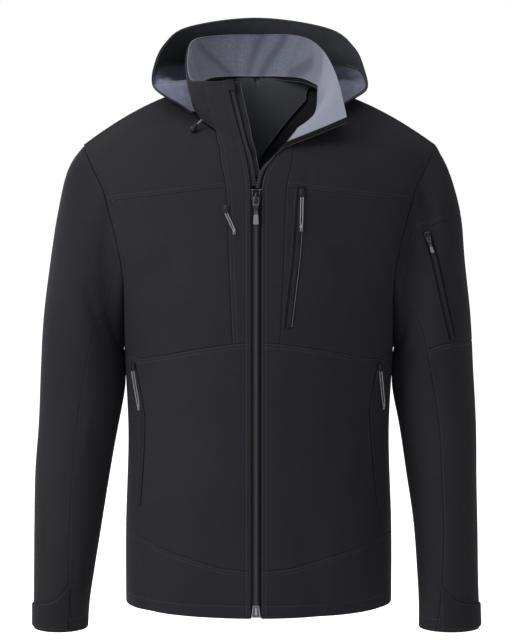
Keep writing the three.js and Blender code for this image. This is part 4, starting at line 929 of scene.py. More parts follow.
class Stitching:
    """Gathers rows of stitches and makes them as one piece."""

    PITCH = 0.0031
    LENGTH = 0.0024
    HALF_WIDTH = 0.00027
    HEIGHT = 0.00022

    def __init__(self, name: str, finish: Finish = Finish.THREAD) -> None:
        """Starts an empty piece of stitching."""
        self.name = name
        self.finish = finish
        self.rows: list[tuple[Array, Array]] = []

    def row(self, points: Array, normals: Array) -> None:
        """Adds a row along points with the cloth's directions there."""
        self.rows.append((np.asarray(points), np.asarray(normals)))

    def rim(self, cloth: Cloth) -> None:
        """Adds the rows of each stitched edge of a finished cloth piece."""
        directions = Cloth(cloth.normals, cloth.facing)
        for edge, rim in enumerate(cloth.rims):
            for row in stitch_rows_of(rim):
                self.row(cloth.along(edge, row), directions.along(edge, row))

    def build(self) -> bpy.types.Object:
        """Makes the piece from one stitch copied along every row."""
        stations = np.array([-1.0, -0.62, 0.62, 1.0]) * self.LENGTH / 2
        swell = np.array([0.25, 1.0, 1.0, 0.25])
        ring = np.array([(1, 0), (0, 1), (-1, 0), (0, -1)], float)
        places, tangents, normals = [], [], []
        for points, directions in self.rows:
            length = np.concatenate([[0], np.cumsum(np.linalg.norm(np.diff(points, axis=0), axis=-1))])
            at = np.arange(self.PITCH / 2, length[-1], self.PITCH)
            if not len(at):
                continue
            read = lambda values, s: np.stack([np.interp(s, length, values[:, c]) for c in range(3)], -1)
            places.append(read(points, at))
            tangents.append(unit(read(points, at + self.LENGTH / 3) - read(points, at - self.LENGTH / 3)))
            normals.append(unit(read(directions, at)))
        place, tangent, normal = map(np.concatenate, (places, tangents, normals))
        side = unit(np.cross(tangent, normal))
        verts = []
        for station, size in zip(stations, swell):
            for across, up in ring:
                verts.append(place + tangent * station + side * across * size * self.HALF_WIDTH
                             + normal * (self.HEIGHT * (0.4 + up * size)))
        points = np.stack(verts, 1).reshape(-1, 3)
        faces = [[4 * k + i, 4 * k + (i + 1) % 4, 4 * k + 4 + (i + 1) % 4, 4 * k + 4 + i]
                 for k in range(3) for i in range(4)]
        faces += [[3, 2, 1, 0], [12, 13, 14, 15]]
        one = np.array(faces)
        count = len(place)
        every = (one[None] + np.arange(count)[:, None, None] * 16).reshape(-1, 4)
        obj = mesh_of(self.name, points, every[:, ::-1])
        return settle(obj, self.finish)


@dataclass
class Panel:
    """A named cloth piece, from its surface to its finished object.

    Attributes:
        node: the CAD node that it replaces, which also names it.
        cloth: its sampled surface.
        finish: its finish.
        thickness: its wall.
        step: the spacing of its samples.
        held: how it hangs, passed to declare.
        rests_on: what it hangs from.
    """

    node: str
    cloth: Cloth
    finish: Finish = Finish.SHELL
    thickness: float = WALL
    step: float = 0.0055
    held: str = "hung"
    rests_on: tuple[str, ...] = ()

    def make(self, stitching: Stitching | None = None) -> Cloth:
        """Args:
            stitching: where its topstitching goes, if it has any.

        Returns:
            The finished cloth, for what lies on it.
        """
        cloth = self.cloth.respaced(self.step).finished()
        obj = cloth.build(f"cloth_{self.node}", self.thickness)
        settle(obj, self.finish, self.node)
        declare(obj, cloth, self.held, *self.rests_on)
        if stitching:
            stitching.rim(cloth)
        return cloth


DENSE = np.linspace(0, 1, 49)
NARROW = np.linspace(0, 1, 17)


class Fronts:
    """The two fronts: lower, hem, chest, yoke and the strip along the zip that rises as collar."""

    WAIST = [(0.031, -0.307), (0.076, -0.314), (0.120, -0.323), (0.160, -0.332)]
    HEM_SEAM = [(FRONT_EDGE, -0.614), (0.050, -0.610), (0.093, -0.599), (0.132, -0.589), (0.154, -0.579)]
    YOKE = [(0.041, -0.097), (0.076, -0.101), (0.125, -0.107), (0.172, -0.112)]
    PRINCESS_LOW = [(0.031, -0.307), (0.033, -0.288), (0.037, -0.190), (0.041, -0.097)]
    PRINCESS_HIGH = [(0.041, -0.097), (0.048, -0.062), (0.052, -0.038)]
    OPEN_EDGE = {
        "R": [(FRONT_EDGE, -0.100), (0.0085, -0.087), (0.0105, -0.074), (0.013, -0.061), (0.016, -0.049)],
        "L": [(FRONT_EDGE, -0.100), (0.010, -0.084), (0.016, -0.070), (0.028, -0.054), (0.042, -0.038)],
    }

    def __init__(self) -> None:
        """Finds the seams of both sides."""
        self.strip_top: dict[str, tuple[Array, Array]] = {}
        self.strip: dict[str, Array] = {}
        self.facing = {"R": -1.0, "L": 1.0}
        for side in "RL":
            self.find_strip(side)

    def open_line(self, side: str, low: float, high: float) -> Edge:
        """The front edge beside the zip between two heights."""
        half = FRONT[side]
        return lambda v: half.locate(FRONT_EDGE, low + (high - low) * np.asarray(v, float))

    def princess(self, side: str) -> tuple[Edge, Edge]:
        """The princess seam below and above the yoke seam."""
        high = np.concatenate([FRONT[side].locate(*np.array(self.PRINCESS_HIGH).T), [[0, 7]]])
        return seam(FRONT[side], self.PRINCESS_LOW), lambda u: spline(high, u)

    def find_strip(self, side: str) -> None:
        """Samples the strip along the zip up to the neckline."""
        half = FRONT[side]
        low, high = self.princess(side)
        open_edge = seam(half, self.OPEN_EDGE[side])
        ends = np.array([0.0, 1.0])
        waist = seam(half, [(FRONT_EDGE, -0.305), self.WAIST[0]])
        slider = half.locate(FRONT_EDGE, -0.100)
        lower = patch(waist, straight(slider, low(ends)[1]), self.open_line(side, -0.305, -0.100), low,
                      NARROW, DENSE)
        upper = patch(straight(open_edge(ends)[0], high(ends)[0]), straight(open_edge(ends)[1], (0, 7)),
                      open_edge, high, NARROW, DENSE[::2])
        places = np.concatenate([lower, upper[1:]])
        self.strip[side] = half.point(places[..., 0], places[..., 1])
        self.strip_top[side] = (upper[-1, 0], upper[-1, -1])

    def panels(self, side: str) -> list[Panel]:
        """The four outer panels of a side."""
        half = FRONT[side]
        ends = np.array([0.0, 1.0])
        waist_in = seam(half, [(FRONT_EDGE, -0.305), self.WAIST[0]])
        waist_run = seam(half, self.WAIST)
        waist_out = chain((waist_run, 5), (straight(waist_run(ends)[1], (1, 3)), 1))
        yoke_run = seam(half, self.YOKE)
        yoke = chain((yoke_run, 5), (straight(yoke_run(ends)[1], (1, YOKE_ROW)), 1))
        hem_run = seam(half, self.HEM_SEAM)
        hem_seam = chain((hem_run, 7), (straight(hem_run(ends)[1], (1, 1)), 1))
        low, high = self.princess(side)
        corner = half.locate(FRONT_EDGE, HEM + 0.00001)
        grids = {
            "lower": patch(hem_seam, chain((waist_in, 2), (waist_out, 6)),
                           self.open_line(side, -0.614, -0.305), straight((1, 1), (1, UNDERARM_ROW)),
                           DENSE, DENSE),
            "hem": patch(straight((corner[0], 0), (1, 0)), hem_seam, self.open_line(side, HEM, -0.614),
                         straight((1, 0), (1, 1)), DENSE, NARROW),
            "chest": patch(waist_out, yoke, low, straight((1, UNDERARM_ROW), (1, YOKE_ROW)), DENSE, DENSE),
            "yoke": patch(yoke, straight((0, TOP_ROW), (1, TOP_ROW)),
                          chain((high, 1), (straight((0, 7), (0, TOP_ROW)), 1)),
                          straight((1, YOKE_ROW), (1, TOP_ROW)), DENSE, DENSE),
        }
        rims = {
            "lower": (Rim.SEWN, Rim.STITCHED, Rim.STITCHED, Rim.STITCHED_ONCE),
            "hem": (Rim.TURNED, Rim.STITCHED, Rim.STITCHED, Rim.STITCHED_ONCE),
            "chest": (Rim.SEWN, Rim.SEWN, Rim.SEWN, Rim.SEWN),
            "yoke": (Rim.STITCHED, Rim.STITCHED_ONCE, Rim.SEWN, Rim.STITCHED_ONCE),
        }
        hangs = {"lower": "chest", "hem": "lower", "chest": "yoke"}
        made = []
        for part, places in grids.items():
            places[0, :, 1] = 0 if part == "hem" else places[0, :, 1]
            points = half.point(places[..., 0], places[..., 1])
            rests = (f"front_{hangs[part]}_{side}",) if part in hangs else ("back_yoke",)
            made.append(Panel(f"front_{part}_{side}", Cloth(points, self.facing[side], rims[part]),
                              rests_on=rests))
        return made


class Collar:
    """The standing collar: column q runs from the right zip edge round the back to the left one."""

    TOP = Table("q x y z", [
        (-1, -0.040, -0.095, 0.046), (0, -0.073, -0.084, 0.046), (1, -0.093, -0.048, 0.052),
        (2, -0.098, 0.008, 0.086), (3.4, -0.088, 0.060, 0.112), (4.3, -0.045, 0.090, 0.120),
        (5, 0, 0.097, 0.121), (5.7, 0.042, 0.090, 0.121), (6.6, 0.073, 0.063, 0.114),
        (8, 0.096, 0.018, 0.094), (9, 0.110, -0.028, 0.063), (10, 0.118, -0.062, 0.024),
        (11, 0.123, -0.088, -0.005)])
    LIFT = 0.0005
    BOW = 0.004
    FLEECE_GAP = 0.0004
    # Painted shade: soft dark bands where the fleece folds, on a chart of column and height
    PAINTED_FOLD_SHADE = (
        Crease((3.95, 0.0), (3.45, 0.8), 0.15, 0.40), Crease((4.72, 0.1), (5.15, 1.0), 0.13, 0.36),
        Crease((5.2, 0.0), (5.7, 0.9), 0.15, 0.42), Crease((6.5, 0.05), (7.15, 0.42), 0.20, 0.62),
        Crease((4.3, 0.2), (4.6, 0.9), 0.08, 0.16), Crease((2.6, 0.2), (2.9, 0.9), 0.20, 0.25),
        Crease((8.4, 0.0), (8.9, 0.25), 0.25, 0.30), Crease((6.2, 0.3), (6.45, 1.0), 0.14, 0.16),
    )

    def __init__(self, fronts: Fronts) -> None:
        """Keeps the fronts, which give the neckline's two ends."""
        self.fronts = fronts

    def neckline(self, q: Array) -> Array:
        """Points of the seam between body and collar."""
        q = np.asarray(q, float)
        out = np.zeros(q.shape + (3,))

        def strip(side: str, share: Array) -> Array:
            """The strip's top from the zip edge to the princess seam."""
            a, b = self.fronts.strip_top[side]
            places = a + (b - a) * share[..., None]
            return FRONT[side].point(places[..., 0], places[..., 1])

        runs = [
            (q < 0, lambda v: strip("R", v + 1)),
            ((q >= 0) & (q <= 2), lambda v: FRONT["R"].point(0 * v, 7 + v)),
            ((q > 2) & (q <= 5), lambda v: BACK["R"].point(0 * v, 11 - v)),
            ((q > 5) & (q <= 8), lambda v: BACK["L"].point(0 * v, 1 + v)),
            ((q > 8) & (q <= 10), lambda v: FRONT["L"].point(0 * v, 17 - v)),
            (q > 10, lambda v: strip("L", 11 - v)),
        ]
        for mine, read in runs:
            if mine.any():
                out[mine] = read(q[mine])
        return out

    def point(self, q: Array, h: Array) -> Array:
        """Points of the collar's outer face at columns q and heights h from 0 to 1."""
        q, h = np.broadcast_arrays(np.asarray(q, float), np.asarray(h, float))
        low = self.neckline(q)
        high = np.stack([self.TOP.read(name, q) for name in "xyz"], -1)
        up = unit(high - low)
        out = unit(low * np.array([1, 1, 0]))
        h = h[..., None]
        return low + (high - low) * h + up * self.LIFT * (1 - h) + out * self.BOW * 4 * h * (1 - h)

    def grid(self, q_from: float, q_to: float, columns: int, rows: int) -> Array:
        """A grid of the collar between two columns."""
        q = np.linspace(q_from, q_to, columns)
        return self.point(q[None, :], np.linspace(0, 1, rows)[:, None])

    def front_centre(self, side: str) -> Cloth:
        """The strip beside the zip with its rise up the collar, as one cloth."""
        q = (-1 + NARROW) if side == "R" else (11 - NARROW)
        rise = self.point(q[None, :], np.linspace(0, 1, 17)[1:, None])
        points = np.concatenate([self.fronts.strip[side], rise])
        for _ in range(3):
            middle = points[1:-1] * 0.5 + (points[:-2] + points[2:]) * 0.25
            near = np.abs(np.arange(1, len(points) - 1) - len(self.fronts.strip[side])) < 6
            points[1:-1][near] = middle[near]
        seam_rim = Rim.STITCHED if side == "R" else Rim.SEWN
        rims = (Rim.SEWN, Rim.STITCHED_ONCE, Rim.STITCHED, seam_rim)
        return Cloth(points, self.fronts.facing[side], rims)

    def make(self, stitching: Stitching) -> dict[str, Cloth]:
        """Builds the collar's shell, lining and the two front strips."""
        made = {}
        for side in "RL":
            panel = Panel(f"front_centre_{side}", self.front_centre(side), rests_on=(f"front_yoke_{side}",),
                          step=0.004)
            made[side] = panel.make(stitching)
        shell = Cloth(self.grid(0, 10, 121, 25), -1, (Rim.SEWN, Rim.STITCHED_ONCE, Rim.SEWN, Rim.SEWN))
        Panel("collar_shell", shell, held="stretched", rests_on=("back_yoke",)).make(stitching)
        lining = Cloth(self.grid(-0.5, 11, 141, 25), -1, (Rim.SEWN,) * 4).lifted(-WALL - self.FLEECE_GAP)
        made["lining"] = Panel("collar_lining", lining, Finish.FLEECE, FLEECE, 0.003, "stretched",
                               ("collar_shell",)).make()
        self.paint_fold_light(bpy.data.objects["cloth_collar_lining"])
        return made

    def paint_fold_light(self, lining: bpy.types.Object) -> None:
        """Paints light on the fleece as a point attribute: painted shade in bands where it bends away, a painted
        highlight on the turned-out end.
        """
        places = np.array([v.co for v in lining.data.vertices])
        q = np.linspace(-0.5, 11, 231)
        chart = self.point(q[None, :], np.linspace(0, 1, 21)[:, None]).reshape(-1, 3)
        near = np.array([((chart - place) ** 2).sum(-1).argmin() for place in places])
        q, h = q[near % 231], (near // 231) / 20
        # Painted highlight rising towards the turned-out end past column 7.6, less the painted shade of each fold band
        painted_light = 0.46 + 0.54 * np.clip((q - 7.6) / 0.8, 0, 1)
        for fold in self.PAINTED_FOLD_SHADE:
            painted_light = painted_light - fold.depth_at(q, h)
        attribute = lining.data.attributes.new("painted_light", "FLOAT", "POINT")
        attribute.data.foreach_set("value", np.clip(painted_light, 0, 1).astype(np.float32))


class Hood:
    """The hood laid back: each section leaves the neck, drops as a bag and rises to a free edge."""

    ROWS = Table("q x y z deep back out", [
        (0.8, -0.080, -0.066, -0.004, 0, 0, 0), (1.1, -0.101, -0.050, 0.012, 0, 0.002, 0.002),
        (1.6, -0.127, -0.028, 0.027, 0, 0.008, 0.009), (2.2, -0.144, 0.010, 0.044, 0.004, 0.014, 0.017),
        (2.8, -0.145, 0.046, 0.072, 0.022, 0.040, 0.022), (3.5, -0.132, 0.076, 0.106, 0.070, 0.088, 0.019),
        (4.2, -0.098, 0.098, 0.133, 0.130, 0.116, 0.005), (5, 0.002, 0.112, 0.147, 0.155, 0.124, 0),
        (5.8, 0.104, 0.098, 0.131, 0.130, 0.116, 0.005), (6.5, 0.141, 0.076, 0.102, 0.070, 0.088, 0.018),
        (7.2, 0.154, 0.046, 0.068, 0.020, 0.040, 0.018), (7.8, 0.156, 0.008, 0.040, 0.002, 0.014, 0.012),
        (8.4, 0.137, -0.028, 0.024, 0, 0.008, 0.006), (8.9, 0.112, -0.048, 0.010, 0, 0.002, 0.002),
        (9.2, 0.090, -0.060, 0, 0, 0, 0)])
    FROM, TO, TRIMMED = 0.8, 9.2, 0.12
    STAND, LIFT = 0.007, 0.006
    BRIM_FROM = 0.86
    SHARE = 0.3
    # Where the elastic shows inside the brim, in columns, and its height
    ELASTIC = ((3.0, 3.65), (6.35, 6.95))
    ELASTIC_AT = 0.89
    CREASES = (
        Crease((0.25, 0.55), (0.40, 0.80), 0.035, 0.006), Crease((0.62, 0.50), (0.75, 0.85), 0.030, 0.005),
        Crease((0.44, 0.35), (0.55, 0.42), 0.045, 0.006), Crease((0.16, 0.45), (0.22, 0.75), 0.022, 0.004),
        Crease((0.80, 0.40), (0.86, 0.72), 0.022, 0.004), Crease((0.48, 0.60), (0.52, 0.84), 0.020, 0.003),
        Crease((0.33, 0.25), (0.38, 0.45), 0.020, 0.003), Crease((0.68, 0.22), (0.62, 0.40), 0.020, 0.003),
    )

    def __init__(self, collar: Collar) -> None:
        """Keeps the collar, which gives the neckline."""
        self.collar = collar

    def point(self, q: Array, v: Array) -> Array:
        """Points of the hood's outer face at columns q, from the neck (v 0) to the free edge (1)."""
        q, v = np.broadcast_arrays(np.asarray(q, float), np.asarray(v, float))
        row = {name: self.ROWS.read(name, q) for name in self.ROWS.names[1:]}
        foot = self.collar.neckline(q)
        start = foot + unit(foot * np.array([1, 1, 0])) * self.STAND + np.array([0, 0, self.LIFT])
        end = np.stack([row["x"], row["y"], row["z"]], -1)
        side = np.stack([np.sign(row["x"]) * row["out"], 0 * q, 0 * q], -1)
        down = np.stack([0 * q, row["back"], -row["deep"]], -1)
        a = start + (end - start) * 0.25 + side * 0.3 + down * np.array([0, 0.35, 0.8])
        b = start + (end - start) * 0.8 + side + down
        w = v[..., None]
        return (start * (1 - w) ** 3 + a * 3 * w * (1 - w) ** 2 + b * 3 * w**2 * (1 - w) + end * w**3)

    def make(self, stitching: Stitching) -> None:
        """Builds the three shell panels, the lining and the brim's facing."""
        q = np.linspace(self.FROM + self.TRIMMED, self.TO - self.TRIMMED, 181)
        v = np.linspace(0, 1, 61)
        shell = Cloth(self.point(q[None, :], v[:, None]), -1)
        share = (q - self.FROM) / (self.TO - self.FROM)
        depth = sum(c.depth_at(share[None, :], v[:, None]) for c in self.CREASES)
        fade = np.minimum(1, 6 * v * (1 - v))[:, None] * np.minimum(1, 5 * share * (1 - share))[None]
        shell.points -= shell.normals * (depth * fade)[..., None]
        middle = (self.FROM + self.TO) / 2
        reach = (self.TO - self.FROM) * self.SHARE / 2
        cuts = [0, int(np.abs(q - middle + reach).argmin()), int(np.abs(q - middle - reach).argmin()), len(q) - 1]
        for k, node in enumerate(("hood_side_R", "hood_centre", "hood_side_L")):
            centre = k == 1
            sides = (Rim.STITCHED, Rim.STITCHED) if centre else (Rim.SEWN, Rim.SEWN)
            part = Cloth(shell.points[:, cuts[k]:cuts[k + 1] + 1], -1, (Rim.SEWN, Rim.TURNED, *sides))
            Panel(node, part, held="draped", rests_on=("back_yoke", "collar_shell")).make(stitching)
        inside = shell.lifted(-WALL - LAYER)
        brim = int(np.abs(v - self.BRIM_FROM).argmin())
        Panel("hood_lining", Cloth(inside.points[:brim + 1], -1), Finish.KNIT, TRIM, 0.005, "draped",
              ("hood_centre",)).make()
        elastic = Stitching("stitching_elastic", Finish.BINDING)
        for low, high in self.ELASTIC:
            run = (q > low) & (q < high)
            at = int(np.abs(v - self.ELASTIC_AT).argmin())
            points = inside.points[at, run] - inside.normals[at, run] * (TRIM + 0.0005)
            elastic.row(points, -inside.normals[at, run])
        elastic.build()
        facing = Cloth(inside.points[brim:], -1, (Rim.STITCHED_ONCE, Rim.SEWN, Rim.SEWN, Rim.SEWN))
        Panel("hood_brim_facing", facing, Finish.FACING, TRIM, 0.005, "draped", ("hood_lining",)).make()


class Back:
    """The back: hem, body, yoke, and the plain facing inside the neck."""

    FACING_LIFT = 0.0012

    def halves(self, places: Array) -> Array:
        """Points of places on both halves, joined at the centre line, from right to left."""
        right = BACK["R"].point(places[..., 0], places[..., 1])
        left = BACK["L"].point(places[..., 0], places[..., 1])
        return np.concatenate([right[:, ::-1], left[:, 1:]], 1)

    def band(self, low: float, high: float, rows: int) -> Array:
        """Both halves between two rows."""
        s, t = np.meshgrid(np.linspace(0, 1, 49), np.linspace(low, high, rows))
        return self.halves(np.stack([s, t], -1))

    def yoke_places(self, u: Array, v: Array) -> Array:
        """Places of one half of the yoke."""
        return patch(straight((0, YOKE_ROW), (1, YOKE_ROW)),
                     chain((straight((0, 6), (0, TOP_ROW)), 3), (straight((0, TOP_ROW), (1, TOP_ROW)), 6)),
                     straight((0, YOKE_ROW), (0, 6)), straight((1, YOKE_ROW), (1, TOP_ROW)), u, v)

    def make(self, stitching: Stitching) -> None:
        """Builds the back's pieces."""
        sides = (Rim.SEWN, Rim.SEWN)
        pieces = {
            "back_hem": (self.band(0, 1, 25), (Rim.TURNED, Rim.STITCHED, *sides), "back_body"),
            "back_body": (self.band(1, YOKE_ROW, 81), (Rim.SEWN, Rim.SEWN, *sides), "back_yoke"),
            "back_yoke": (self.halves(self.yoke_places(DENSE, DENSE)), (Rim.STITCHED, Rim.SEWN, *sides),
                          "collar_shell"),
        }
        for node, (points, rims, above) in pieces.items():
            Panel(node, Cloth(points, -1, rims), rests_on=(above,)).make(stitching)
        inside = self.halves(self.yoke_places(np.linspace(0, 1 / 3, 25), np.linspace(0.25, 1, 25)))
        facing = Cloth(inside, -1).lifted(-WALL - self.FACING_LIFT)
        Panel("back_neck_facing", facing, Finish.FACING, TRIM, 0.006, "hung", ("collar_lining",)).make()


class Sleeves:
    """The two sleeves: tubes from the armhole to the cuff, cut as upper and under sleeve."""

    COLUMNS = "v ox oz ix iz y half"
    ROWS = {
        "R": Table(COLUMNS, [
            (1, 0.262, -0.073, 0.187, -0.327, 0, 0.062), (2, 0.277, -0.136, 0.187, -0.330, 0, 0.066),
            (3, 0.288, -0.202, 0.187, -0.336, 0, 0.067), (4, 0.297, -0.276, 0.187, -0.348, -0.001, 0.065),
            (5, 0.301, -0.346, 0.188, -0.378, -0.003, 0.060), (6, 0.304, -0.423, 0.194, -0.426, -0.007, 0.056),
            (7, 0.309, -0.493, 0.204, -0.492, -0.013, 0.053), (8, 0.310, -0.563, 0.215, -0.563, -0.021, 0.049),
            (9, 0.310, -0.633, 0.226, -0.633, -0.030, 0.045), (10, 0.310, -0.675, 0.232, -0.675, -0.035, 0.043),
            (11, 0.310, -0.709, 0.234, -0.709, -0.038, 0.042)]),
        "L": Table(COLUMNS, [
            (1, 0.268, -0.073, 0.1945, -0.327, 0, 0.062), (2, 0.285, -0.132, 0.1945, -0.330, 0, 0.066),
            (3, 0.292, -0.202, 0.1945, -0.336, 0, 0.067), (4, 0.300, -0.276, 0.1945, -0.348, -0.001, 0.065),
            (5, 0.304, -0.346, 0.1955, -0.378, -0.003, 0.060), (6, 0.308, -0.423, 0.202, -0.426, -0.007, 0.056),
            (7, 0.309, -0.493, 0.210, -0.492, -0.013, 0.053), (8, 0.310, -0.563, 0.220, -0.563, -0.021, 0.049),
            (9, 0.310, -0.633, 0.225, -0.633, -0.030, 0.045), (10, 0.311, -0.675, 0.227, -0.675, -0.035, 0.043),
            (11, 0.312, -0.709, 0.227, -0.709, -0.038, 0.042)]),
    }
    SEAMS = Table("v front back", [(0, 129, 129), (2, 116, 122), (4, 104, 116), (6, 93, 112), (8, 98, 112),
                                   (11, 120, 118)])
    END = 11.0
    GAP = 0.0003
    ARMHOLE_STEPS = 14
    YOKE_STEPS = 8
    SEAM_ROUNDS = 4
    # The slanted seams over and under the left sleeve's pocket, and the cuff tab's upper edge
    POCKET_TOP = Table("degrees v", [(-125, 2), (-60, 2.15), (0, 2.08), (44, 1.66), (59, 1.22), (66, 0.98),
                                     (75, 0.76), (87, 0.57), (99, 0.47), (126, 0.5)])
    POCKET_BOTTOM = Table("degrees v", [(-120, 4), (-60, 4.4), (0, 4.5), (30, 4.42), (60, 4.28), (85, 4.1),
                                        (104, 4)])
    TAB_TOP = Table("degrees v", [(-95, 10.15), (0, 10), (50, 9.9), (83, 9.71), (108, 9.2)])
    # The cuff tab's lower edge, and its ends in degrees
    TAB_TO, TAB_FRONT, TAB_BACK = 10.85, 108.0, -95.0
    TAB_LIFT = 0.0014
    # Creases on a chart of degrees round the tube and v along it
    CREASES = {
        "R": (
            Crease((60, 1.2), (118, 2.6), 12, 0.0030), Crease((20, 3.2), (80, 4.0), 14, 0.0020),
            Crease((70, 5.0), (130, 4.3), 12, 0.0028), Crease((120, 6.3), (150, 6.9), 8, 0.0020),
            Crease((40, 6.5), (95, 5.9), 13, 0.0018), Crease((-30, 4.6), (-95, 5.4), 15, 0.0030),
            Crease((-60, 2.0), (-110, 3.0), 14, 0.0030), Crease((-20, 7.2), (-90, 6.8), 14, 0.0022),
            Crease((60, 8.2), (110, 8.7), 11, 0.0016), Crease((180, 2.5), (182, 4.9), 22, -0.0046),
        ),
        "L": (
            Crease((76, 0.2), (70, 0.62), 9, 0.0065), Crease((60, 0.25), (56, 0.95), 6, -0.0030),
            Crease((110, 3.0), (140, 4.0), 12, 0.0028), Crease((30, 5.4), (90, 5.0), 14, 0.0020),
            Crease((100, 6.2), (150, 6.8), 12, 0.0024), Crease((20, 7.6), (80, 7.2), 14, 0.0016),
            Crease((-30, 4.9), (-95, 5.6), 15, 0.0030), Crease((-60, 2.2), (-110, 3.2), 14, 0.0030),
            Crease((-20, 7.4), (-90, 7.0), 14, 0.0022), Crease((180, 2.5), (182, 4.9), 22, -0.0046),
        ),
    }
    CHART = 1 / 18

    def armhole(self, side: str, degrees: Array) -> Array:
        """The armhole's edge at so many degrees from the shoulder tip, front first."""
        degrees = np.asarray(degrees, float)
        turned = np.where(degrees > 180, 360 - degrees, np.abs(degrees))
        step = turned / 180 * self.ARMHOLE_STEPS
        t = np.where(step <= self.YOKE_STEPS, TOP_ROW - step / 2, YOKE_ROW - (step - self.YOKE_STEPS) / 3)
        t = np.maximum(t, UNDERARM_ROW)
        front = ((degrees >= 0) & (degrees <= 180))[..., None]
        return np.where(front, FRONT[side].point(np.ones(t.shape), t), BACK[side].point(np.ones(t.shape), t))

    def ring(self, side: str, k: Array, degrees: Array) -> Array:
        """Points of section k, or of the armhole where k is 0."""
        rows = self.ROWS[side]
        at = np.clip(k, 1, len(rows.axis)) - 1
        row = {name: rows.values[name][at] for name in rows.names[1:]}
        angle = np.radians(degrees)
        x = (row["ox"] + row["ix"]) / 2 + (row["ox"] - row["ix"]) / 2 * np.cos(angle)
        z = (row["oz"] + row["iz"]) / 2 + (row["oz"] - row["iz"]) / 2 * np.cos(angle)
        tube = np.stack([np.sign(SIDES[side]) * x, row["y"] - row["half"] * np.sin(angle), z], -1)
        return np.where((k <= 0)[..., None], self.armhole(side, degrees), tube)

    def plain(self, side: str, degrees: Array, v: Array) -> Array:
        """Points of the smooth tube."""
        degrees, v = np.broadcast_arrays(np.asarray(degrees, float), np.asarray(v, float))
        k = np.minimum(np.floor(v).astype(int), len(self.ROWS[side].axis) - 1)
        p = [self.ring(side, np.maximum(k + i, 0), degrees) for i in (-1, 0, 1, 2)]
        w = (v - k)[..., None]
        slope_a, slope_b = (p[2] - p[0]) / 2, (p[3] - p[1]) / 2
        out = (p[1] * (2 * w**3 - 3 * w**2 + 1) + slope_a * (w**3 - 2 * w**2 + w)
               + p[2] * (3 * w**2 - 2 * w**3) + slope_b * (w**3 - w**2))
        first = (v <= 0)[..., None]
        return out + np.where(first, unit(p[2] - p[1]) * self.GAP, 0)

    def cell(self, side: str, degrees: Array, v: Array) -> tuple[Array, Array]:
        """Points and directions of the creased tube."""
        degrees, v = np.broadcast_arrays(np.asarray(degrees, float), np.asarray(v, float))
        p = self.plain(side, degrees, v)
        around = self.plain(side, degrees + 1, v) - self.plain(side, degrees - 1, v)
        down = (self.plain(side, degrees, np.minimum(v + 0.02, self.END))
                - self.plain(side, degrees, np.maximum(v - 0.02, 0.001)))
        n = unit(np.cross(around, down)) * np.sign(SIDES[side])
        turned = (degrees + 180) % 360 - 180
        depth = np.zeros(v.shape)
        for crease in self.CREASES[side]:
            a = (crease.a[0] * self.CHART, crease.a[1])
            b = (crease.b[0] * self.CHART, crease.b[1])
            chart = Crease(a, b, crease.width * self.CHART, crease.depth)
            over = 180 if crease.b[0] > 180 else 0
            here = np.where(turned < 0, turned + 360, turned) if over else turned
            depth += chart.depth_at(here * self.CHART, v)
        fade = np.clip(v / 0.8, 0, 1) * np.clip((self.END - v) / 1.5, 0, 1)
        return p - n * (depth * fade)[..., None], n

    def under(self, side: str, stations: Array, columns: int) -> Array:
        """A grid of the under sleeve, with stations from the armhole down."""
        low = self.SEAMS.read("front", stations)
        high = 360 - self.SEAMS.read("back", stations)
        share = np.linspace(0, 1, columns)
        degrees = low[:, None] + (high - low)[:, None] * share[None, :]
        return self.cell(side, degrees, stations[:, None])[0]

    def between(self, side: str, low: Edge, high: Edge, rows: int, columns: int) -> Array:
        """A grid of the upper sleeve between two seams.

        Args:
            side: R or L.
            low, high: the seams, each giving v from degrees round the tube.
            rows, columns: the grid's size.

        Returns:
            The points, from the upper seam down.
        """
        across, down = np.meshgrid(np.linspace(0, 1, columns), np.linspace(0, 1, rows))
        degrees = 0 * across
        for _ in range(self.SEAM_ROUNDS):
            v = low(degrees) + (high(degrees) - low(degrees)) * down
            back = self.SEAMS.read("back", v)
            degrees = (self.SEAMS.read("front", v) + back) * across - back
        return self.cell(side, degrees, low(degrees) + (high(degrees) - low(degrees)) * down)[0]

    def make(self, side: str, stitching: Stitching) -> None:
        """Builds one sleeve's cloth."""
        facing = float(np.sign(SIDES[side]))
        seams = (Rim.STITCHED_ONCE, Rim.STITCHED_ONCE)
        armhole, cuff = (lambda degrees: 0 * degrees), (lambda degrees: 0 * degrees + self.END)
        top, bottom = (lambda degrees: self.POCKET_TOP.read("v", degrees)), (
            lambda degrees: self.POCKET_BOTTOM.read("v", degrees))
        runs = {f"sleeve_upper_{side}": (armhole, cuff, 141, (Rim.SEWN, Rim.TURNED, *seams))}
        if side == "L":
            runs = {
                "sleeve_cap_L": (armhole, top, 41, (Rim.SEWN, Rim.STITCHED, *seams)),
                "sleeve_pocket_L": (top, bottom, 61, (Rim.SEWN, Rim.SEWN, *seams)),
                "sleeve_upper_L": (bottom, cuff, 89, (Rim.STITCHED, Rim.TURNED, *seams)),
            }
        for node, (low, high, rows, rims) in runs.items():
            cloth = Cloth(self.between(side, low, high, rows, 101 if side == "L" else 61), facing, rims)
            Panel(node, cloth, rests_on=(f"front_yoke_{side}",)).make(stitching)
        under = self.under(side, np.linspace(0, self.END, 141), 41)
        cloth = Cloth(under, facing, (Rim.SEWN, Rim.TURNED, Rim.SEWN, Rim.SEWN))
        Panel(f"sleeve_under_{side}", cloth, rests_on=(f"front_yoke_{side}",)).make(stitching)
        self.make_tab(side, facing, stitching)

